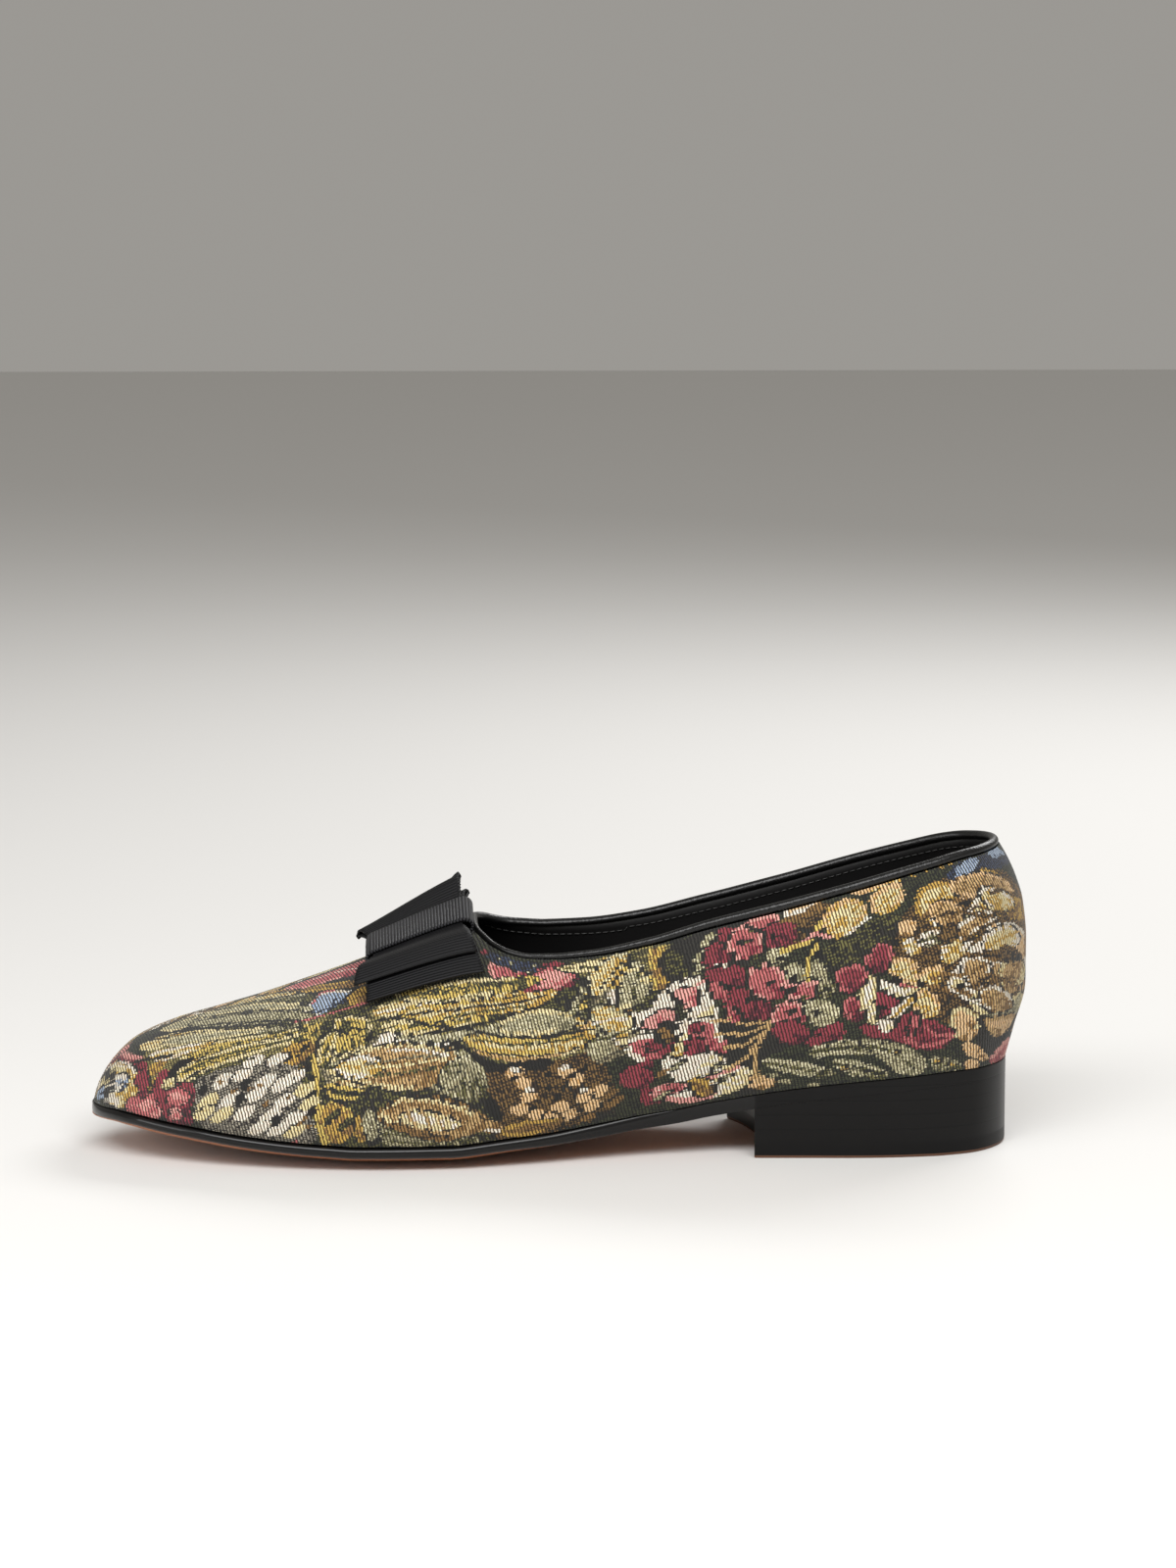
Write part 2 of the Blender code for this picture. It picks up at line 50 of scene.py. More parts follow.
YAW, PITCH = math.radians(2.0), math.radians(8.5)
DISTANCE, ASIDE, RISE = 1.293, 0.00798, 0.10345
SENSOR_HEIGHT, PICTURE_HEIGHT, FOCAL_PIXELS = 36.0, 1600, 4537
right = Vector((math.cos(YAW), -math.sin(YAW), 0.0))
up = Vector((math.sin(PITCH) * math.sin(YAW), math.sin(PITCH) * math.cos(YAW), math.cos(PITCH)))
forward = up.cross(right)
camera_data = bpy.data.cameras.new("camera")
camera_data.sensor_fit = "VERTICAL"
camera_data.sensor_height = SENSOR_HEIGHT
camera_data.lens = SENSOR_HEIGHT * FOCAL_PIXELS / PICTURE_HEIGHT
camera_data.clip_end = 20.0
camera = bpy.data.objects.new("camera", camera_data)
facing = Matrix((right, up, -forward)).transposed()
stand = right * ASIDE + up * RISE - forward * DISTANCE
camera.matrix_world = Matrix.Translation(stand) @ facing.to_4x4()
bpy.context.scene.collection.objects.link(camera)
bpy.context.scene.camera = camera

# Floor: a wide board painted a pale warm grey, which the shoe stands on.
# It is flat and plain, so that nothing but the shoe's own soft shadow shows on it.


def linear(hex_colour):
    """An sRGB hex colour as linear values."""
    shares = [int(hex_colour[i:i + 2], 16) / 255 for i in (1, 3, 5)]
    return [s / 12.92 if s <= 0.04045 else ((s + 0.055) / 1.055) ** 2.4 for s in shares] + [1.0]


def finish_of(name, colour, roughness, more=None):
    """A material with this colour and roughness, and more constants by the shader's input names.

    An IOR of 1.5 suits all of them here: paint, cotton, leather, wax, rubber and ribbon.
    """
    material = bpy.data.materials.new(name)
    material.use_nodes = True
    shader = material.node_tree.nodes["Principled BSDF"]
    constants = {"Base Color": linear(colour), "Roughness": roughness, "IOR": 1.5}
    for socket, value in {**constants, **(more or {})}.items():
        shader.inputs[socket].default_value = value
    return material


def add_node(material, kind, links=(), **settings):
    """Adds a node. Settings name its properties or inputs; links are (input, source node, output)."""
    node = material.node_tree.nodes.new(kind)
    for name, value in settings.items():
        if hasattr(node, name):
            setattr(node, name, value)
        else:
            node.inputs[int(name[3:]) if name.startswith("in_") else name].default_value = value
    for target, source, output in links:
        material.node_tree.links.new(source.outputs[output], node.inputs[target])
    return node


def feed(material, socket, node, output):
    """Links a node's output to the material's shader."""
    shader = material.node_tree.nodes["Principled BSDF"]
    material.node_tree.links.new(node.outputs[output], shader.inputs[socket])


def add_mesh(name, points, faces, materials):
    """A smooth-shaded mesh, linked to the scene."""
    mesh = bpy.data.meshes.new(name)
    mesh.from_pydata([tuple(p) for p in points], [], faces)
    mesh.shade_smooth()
    for material in materials:
        mesh.materials.append(material)
    piece = bpy.data.objects.new(name, mesh)
    bpy.context.scene.collection.objects.link(piece)
    return piece


# Matte wall paint: an even pale tone without any gleam
board_paint = finish_of("matte_painted_board", "#dfdedc", 0.8)
floor = add_mesh("floor", [(-4, -4, 0), (4, -4, 0), (4, 4, 0), (-4, 4, 0)], [(0, 1, 2, 3)], [board_paint])

# Light: a wide soft lamp above and in front of the shoe, a small fill from the toe's side and a lamp
# from behind that draws the collar's edge, in a room of pale warm light.


def add_lamp(name, place, aim, size, power):
    """A soft rectangular lamp, sizes in metres and power in watts."""
    data = bpy.data.lights.new(name, "AREA")
    data.shape, data.size, data.size_y, data.energy = "RECTANGLE", size[0], size[1], power
    lamp = bpy.data.objects.new(name, data)
    lamp.location = place
    lamp.rotation_euler = (Vector(aim) - Vector(place)).to_track_quat("-Z", "Y").to_euler()
    bpy.context.scene.collection.objects.link(lamp)


add_lamp("key", place=(-0.05, -1.0, 1.05), aim=(0, 0, 0.03), size=(1.6, 0.5), power=23.0)
add_lamp("fill", place=(-1.1, -0.7, 0.5), aim=(0, 0, 0.04), size=(0.6, 0.6), power=4.5)
add_lamp("back", place=(0.6, 0.9, 0.9), aim=(0, 0, 0.04), size=(0.9, 0.4), power=9.0)
world = bpy.data.worlds.new("studio")
world.use_nodes = True
world.node_tree.nodes["Background"].inputs["Color"].default_value = linear("#efebe4")
world.node_tree.nodes["Background"].inputs["Strength"].default_value = 0.38
bpy.context.scene.world = world
# The standard view keeps black leather black and the yarns' colours full
bpy.context.scene.view_settings.view_transform = "Standard"

# Upper: jacquard tapestry lasted over the foot's form, glued to a backing cloth and a leather lining.
# The form is a row of sections across the foot. Each has a widest line near the sole and a ridge on top,
# and the cloth's edge turns under where it meets the sole.

SOLE_LENGTH, BALL_WIDTH, INSTEP_HEIGHT, BACK_HEIGHT = 0.2645, 0.080, 0.0655, 0.0868
SEAT_HEIGHT, TOE_SPRING, TREAD_CROWN, SOLE_THICKNESS = 0.0208, 0.0095, 0.0038, 0.0042
BACK_BULGE, SIDE_BULGE, UPPER_WALL = 0.0055, 0.0024, 0.0018
THROAT, BACK_CURVE_START = 0.411, 0.70  # stations of the opening's front end and of the back's curve
BULGE_FADE = 0.25  # the side's bulge fades where the form is narrower than this share of the ball

# Half widths where the upper meets the sole, as shares of the ball's width
OUTLINE = {
    "station": (0.0, 0.012, 0.045, 0.107, 0.172, 0.256, 0.325, 0.395, 0.455, 0.535, 0.605, 0.68,
                0.75, 0.84, 0.905, 0.955, 0.986, 1.0),
    "outer": (0.0, 0.150, 0.282, 0.392, 0.458, 0.503, 0.515, 0.502, 0.466, 0.394, 0.346, 0.328,
              0.335, 0.346, 0.329, 0.272, 0.167, 0.0),
    "inner": (0.0, 0.150, 0.282, 0.388, 0.444, 0.480, 0.483, 0.462, 0.420, 0.350, 0.308, 0.308,
              0.330, 0.350, 0.334, 0.278, 0.170, 0.0),
}
# The sole's underside, as shares of the toe spring and of the seat's height
UNDERSIDE = {
    "station": (0.0, 0.025, 0.047, 0.068, 0.11, 0.176, 0.22, 0.26, 0.29, 0.39, 0.46, 0.50, 0.543,
                0.587, 0.63, 0.674, 0.717, 0.757, 0.813, 0.87, 0.934, 1.0),
    "toe": (1.0, 0.97, 0.85, 0.72, 0.52, 0.25, 0.13, 0.05, 0.0, 0.0, 0.0, 0.0, 0.0,
            0.0, 0.0, 0.0, 0.0, 0.0, 0.0, 0.0, 0.0, 0.0),
    "seat": (0.0, 0.0, 0.0, 0.0, 0.0, 0.0, 0.0, 0.0, 0.0, 0.0, 0.110, 0.170, 0.255,
             0.355, 0.455, 0.590, 0.690, 0.765, 0.850, 0.915, 0.980, 1.0),
}
# The sole's edge: its thickness, and its lift over the flat of the tread
EDGE = {
    "station": (0.0, 0.02, 0.07, 0.20, 0.30, 0.41, 0.455, 0.50, 0.55, 0.60, 0.70, 1.0),
    "thickness": (0.76, 0.78, 0.82, 0.85, 0.88, 0.90, 0.93, 0.96, 1.0, 1.0, 1.0, 1.0),
    "lift": (0.0, 0.30, 0.78, 1.0, 1.0, 0.98, 0.78, 0.60, 0.46, 0.34, 0.0, 0.0),
}
# The form's top as a share of the instep's height, and the ridge's place over the ball's width
CREST = {
    "station": (0.0, 0.0064, 0.0227, 0.0465, 0.091, 0.132, 0.177, 0.242, 0.302, 0.411, 0.473,
                0.54, 0.62, 0.71, 0.81, 0.91, 1.0),
    "height": (0.185, 0.285, 0.385, 0.468, 0.543, 0.588, 0.637, 0.722, 0.807, 0.985, 1.055,
               1.18, 1.45, 1.71, 1.71, 1.62, 1.58),
    "ridge": (0.0, 0.0, 0.0, 0.01, 0.02, 0.03, 0.045, 0.065, 0.08, 0.09, 0.085,
              0.07, 0.04, 0.0, 0.0, 0.0, 0.0),
}
# How far each section bulges, how high it is widest, and the powers of its two curves
SECTION = {
    "station": (0.0, 0.05, 0.20, 0.40, 0.60, 0.75, 0.90, 1.0),
    "bulge": (0.0, 0.15, 0.50, 0.60, 0.80, 1.0, 1.0, 1.0),
    "widest": (0.02, 0.06, 0.13, 0.14, 0.16, 0.20, 0.28, 0.30),
    "width_power": (2.3, 2.3, 2.2, 2.1, 2.0, 2.0, 2.0, 2.0),
    "height_power": (2.2, 2.2, 2.1, 2.0, 2.0, 2.0, 2.0, 2.0),
}
# The collar's height on each side as a share of the back's, and the binding's height
COLLAR = {
    "station": (0.411, 0.422, 0.433, 0.454, 0.476, 0.497, 0.54, 0.605, 0.669, 0.755, 0.819, 0.862,
                0.905, 0.948, 1.0),
    "outer": (0.743, 0.712, 0.692, 0.670, 0.660, 0.660, 0.670, 0.708, 0.764, 0.830, 0.884, 0.920,
              0.952, 0.980, 1.0),
    "inner": (0.743, 0.728, 0.714, 0.695, 0.686, 0.681, 0.684, 0.708, 0.750, 0.812, 0.866, 0.903,
              0.940, 0.974, 1.0),
    "binding": (0.70, 0.70, 0.70, 0.70, 0.72, 0.74, 0.78, 0.86, 0.94, 1.0, 1.0, 1.0,
                1.0, 1.0, 1.0),
}
# How far the back stands out behind, over its height
BACK_CURVE = {
    "height": (0.29, 0.39, 0.54, 0.68, 0.81, 0.89, 0.95, 1.03),
    "behind": (0.0, 0.42, 1.0, 1.0, 0.80, 0.42, 0.0, -0.75),
}


def smooth_values(places, values, wanted):
    """A monotone cubic through the rows of a table, at one place or many."""
    places, values, wanted = np.asarray(places, float), np.asarray(values, float), np.asarray(wanted, float)
    steps = np.diff(places)
    slopes = np.diff(values) / steps
    tangents = np.zeros_like(values)
    tangents[0], tangents[-1] = slopes[0], slopes[-1]
    for row in range(1, len(values) - 1):
        before, after = slopes[row - 1], slopes[row]
        if before * after > 0:
            weight = (2 * steps[row] + steps[row - 1], steps[row] + 2 * steps[row - 1])
            tangents[row] = sum(weight) / (weight[0] / before + weight[1] / after)
    row = np.clip(np.searchsorted(places, wanted) - 1, 0, len(steps) - 1)
    step = steps[row]
    t = (wanted - places[row]) / step
    low = (1 + 2 * t) * (1 - t) ** 2 * values[row] + t * (1 - t) ** 2 * step * tangents[row]
    return low + t * t * (3 - 2 * t) * values[row + 1] + t * t * (t - 1) * step * tangents[row + 1]


def turn_of(station):
    """An angle that opens evenly towards both ends of the sole, for smooth ends."""
    return np.arccos(1 - 2 * np.clip(station, 0.0, 1.0))


def along(table, column, station):
    """A table's column at one station or many."""
    return smooth_values(turn_of(table["station"]), table[column], turn_of(station))


def half_width(side, station):
    return along(OUTLINE, "outer" if side < 0 else "inner", station) * BALL_WIDTH


def underside(station):
    """Height of the tread over the floor."""
    return along(UNDERSIDE, "toe", station) * TOE_SPRING + along(UNDERSIDE, "seat", station) * SEAT_HEIGHT


def edge_lift(station):
    return along(EDGE, "lift", station) * TREAD_CROWN


def feather(station):
    """Height of the edge where the upper meets the sole."""
    return underside(station) + edge_lift(station) + along(EDGE, "thickness", station) * SOLE_THICKNESS


def section(side, station):
    """Sizes of one side of the form's section at each station."""
    base = feather(station)
    top = np.maximum(along(CREST, "height", station) * INSTEP_HEIGHT, base)
    at_feather = half_width(side, station)
    bulge = along(SECTION, "bulge", station) * SIDE_BULGE
    swell = 1 + bulge / np.maximum(at_feather, BULGE_FADE * BALL_WIDTH)
    width_power = along(SECTION, "width_power", station)
    return {
        "station": station, "base": base, "top": top, "widest": at_feather * swell,
        "widest_height": base + (top - base) * along(SECTION, "widest", station),
        "width_power": width_power, "height_power": along(SECTION, "height_power", station),
        "start": -np.arccos(swell ** (-width_power / 2)),
        "ridge": along(CREST, "ridge", station) * BALL_WIDTH,
    }


def form_points(side, shape, angle):
    """Points of the form's side, from the sections' start at the feather to a quarter turn at the ridge."""
    low_share = 1 - np.sin(np.minimum(angle, 0)) / np.minimum(np.sin(shape["start"]), -1e-9)
    low = shape["base"] + (shape["widest_height"] - shape["base"]) * low_share
    lifted = np.sin(np.maximum(angle, 0)) ** (2 / shape["height_power"])
    high = shape["widest_height"] + (shape["top"] - shape["widest_height"]) * lifted
    height = np.where(angle < 0, low, high)
    across = side * shape["widest"] * np.abs(np.cos(angle)) ** (2 / shape["width_power"])
    across = across + shape["ridge"] * np.maximum(np.sin(angle), 0.0) ** 3
    share = np.clip((shape["station"] - BACK_CURVE_START) / (1 - BACK_CURVE_START), 0.0, 1.0)
    level = np.clip(height / BACK_HEIGHT, BACK_CURVE["height"][0], BACK_CURVE["height"][-1])
    behind = smooth_values(BACK_CURVE["height"], BACK_CURVE["behind"], level) * BACK_BULGE * share ** 2
    return np.stack((shape["station"] * SOLE_LENGTH + behind, across, height), -1)


def collar_angle(side, shape):
    """The angle of the cloth's top edge on each section."""
    station = np.maximum(shape["station"], THROAT)
    shares = np.sqrt(np.maximum(np.array(COLLAR["station"]) - THROAT, 0))
    level = smooth_values(shares, COLLAR["outer" if side < 0 else "inner"], np.sqrt(station - THROAT))
    share = (level * BACK_HEIGHT - shape["widest_height"]) / (shape["top"] - shape["widest_height"])
    angle = np.arcsin(np.clip(share, 0.0, 1.0) ** (shape["height_power"] / 2))
    return np.where(shape["station"] <= THROAT, math.pi / 2, angle)


# The shoe's own frame has x = 0 at the toe's feather edge
widest = {side: half_width(side, np.arange(100) / 100).max() for side in (-1, 1)}
ORIGIN = np.array(((SOLE_LENGTH + BACK_BULGE) / 2, (widest[1] - widest[-1]) / 2, 0.0))

# The grid's columns are close together at the toe's point and round the heel
TOE_COLUMNS, COLLAR_COLUMNS, SIDE_ROWS = 150, 190, 132
toe_run = THROAT * (1 - np.cos(np.linspace(0, math.pi / 2, 31)))
toe_run = np.unique(np.concatenate((toe_run[toe_run < 0.03], np.linspace(0.03, THROAT, TOE_COLUMNS))))
collar_turns = math.pi * np.linspace(0, 1, COLLAR_COLUMNS + 1) ** 0.85
collar_run = THROAT + (1 - THROAT) * (1 - np.cos(collar_turns)) / 2
columns = np.concatenate((toe_run, collar_run[1:]))


def unit_rows(vectors):
    return vectors / np.maximum(np.linalg.norm(vectors, axis=-1, keepdims=True), 1e-12)


def grid_normals(side, points):
    """Outward normals of a side's grid; at the back seam they point straight back."""
    normals = np.cross(np.gradient(points, axis=0), np.gradient(points, axis=1)) * -side
    normals[-1, :, 1] = 0.0
    return unit_rows(normals)


def side_grid(side, stations, rows, inset=0.0):
    """Points of one side, a row for each station, from the feather to the ridge or collar."""
    shape = {key: value[:, None] for key, value in section(side, stations).items()}
    angle = shape["start"] + (collar_angle(side, shape) - shape["start"]) * np.linspace(0, 1, rows + 1)
    points = form_points(side, shape, angle)
    return points - grid_normals(side, points) * inset if inset else points


def lengths_along(points, axis):
    """Distance along a grid's rows or columns, in millimetres."""
    steps = np.linalg.norm(np.diff(points, axis=axis), axis=-1)
    start = np.zeros_like(np.take(steps, [0], axis))
    return np.concatenate((start, np.cumsum(steps, axis)), axis) * 1000


def grid_piece(name, grids, materials, flips, uv=None, slots=None):
    """One mesh from grids of points, with equal corners joined and empty faces left out."""
    known, points, faces, corners, picked = {}, [], [], [], []
    for g, grid in enumerate(grids):
        keys = np.round(grid * 2e6).astype(int)
        index = np.empty(grid.shape[:2], int)
        for i in range(grid.shape[0]):
            for j in range(grid.shape[1]):
                key = tuple(keys[i, j])
                if key not in known:
                    known[key] = len(points)
                    points.append(grid[i, j])
                index[i, j] = known[key]
        for i in range(grid.shape[0] - 1):
            for j in range(grid.shape[1] - 1):
                ring = [(i, j), (i + 1, j), (i + 1, j + 1), (i, j + 1)]
                if flips[g]:
                    ring.reverse()
                face, used = [], []
                for corner in ring:
                    if index[corner] not in face:
                        face.append(int(index[corner]))
                        used.append(corner)
                if len(face) > 2:
                    faces.append(face)
                    corners.append((g, used))
                    picked.append((g, i, j))
    piece = add_mesh(name, points, faces, materials)
    if uv:
        layer = piece.data.uv_layers.new(name="surface")
        flat = [uv[g][corner] for g, used in corners for corner in used]
        layer.data.foreach_set("uv", np.array(flat, np.float32).ravel())
    if slots:
        piece.data.polygons.foreach_set("material_index", [slots(*cell) for cell in picked])
    return piece, picked


def dress(piece, node):
    """Puts a piece in the place of the part's node: hides the part and hangs the piece under the root."""
    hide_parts(node)
    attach(piece, "root")


# Yarns by name: the colour that floats on top, and the one that shows between its floats
YARNS = {
    "moss": ("#a0945a", "#544f33"), "drab": ("#a69b78", "#57523f"), "green": ("#3d4029", "#1c1d17"),
    "dark": ("#2a2823", "#181715"), "black": ("#191714", "#12110f"), "olive": ("#6a6638", "#2b2b1d"),
    "brown": ("#7f6236", "#33261a"), "bronze": ("#94713f", "#5c4424"), "gold": ("#d2aa50", "#9c7c3a"),
    "yellow": ("#e2c668", "#c2a650"), "straw": ("#f4e4ae", "#dcc684"), "tan": ("#d2ae76", "#a4864f"),
    "peach": ("#f6cf9a", "#dcac6c"), "cream": ("#fff4e2", "#eedfc4"), "celadon": ("#e0d9b4", "#a8a27c"),
    "sage": ("#c2ba92", "#7f7a5c"), "hatch": ("#a29b8a", "#2a2623"), "rose": ("#cd7070", "#a54c54"),
    "pink": ("#f2aca2", "#d4827e"), "burgundy": ("#973a45", "#742c36"), "wine": ("#5c202d", "#3b161d"),
    "navy": ("#39435c", "#1e2333"), "blue": ("#a9bbd2", "#7688a6"),
}
# The darker yarn that shades one side of each leaf or petal
SHADES = {
    "olive": "dark", "brown": "dark", "bronze": "brown", "gold": "bronze", "yellow": "olive",
    "straw": "gold", "tan": "bronze", "peach": "bronze", "cream": "straw", "celadon": "sage", "sage": "olive",
    "rose": "burgundy", "pink": "rose", "burgundy": "wine", "blue": "navy",
}
# Yarns that are veined as leaves, that lie behind all motifs, and that mix with their under yarn
LEAF_YARNS = ("straw", "yellow", "gold", "tan", "sage", "celadon", "olive")
GROUNDS = ("moss", "drab", "green", "dark", "black", "brown", "hatch")
MIXED = ("moss", "drab", "green", "olive", "brown", "sage", "hatch", "celadon", "navy")
yarn_names = list(YARNS)

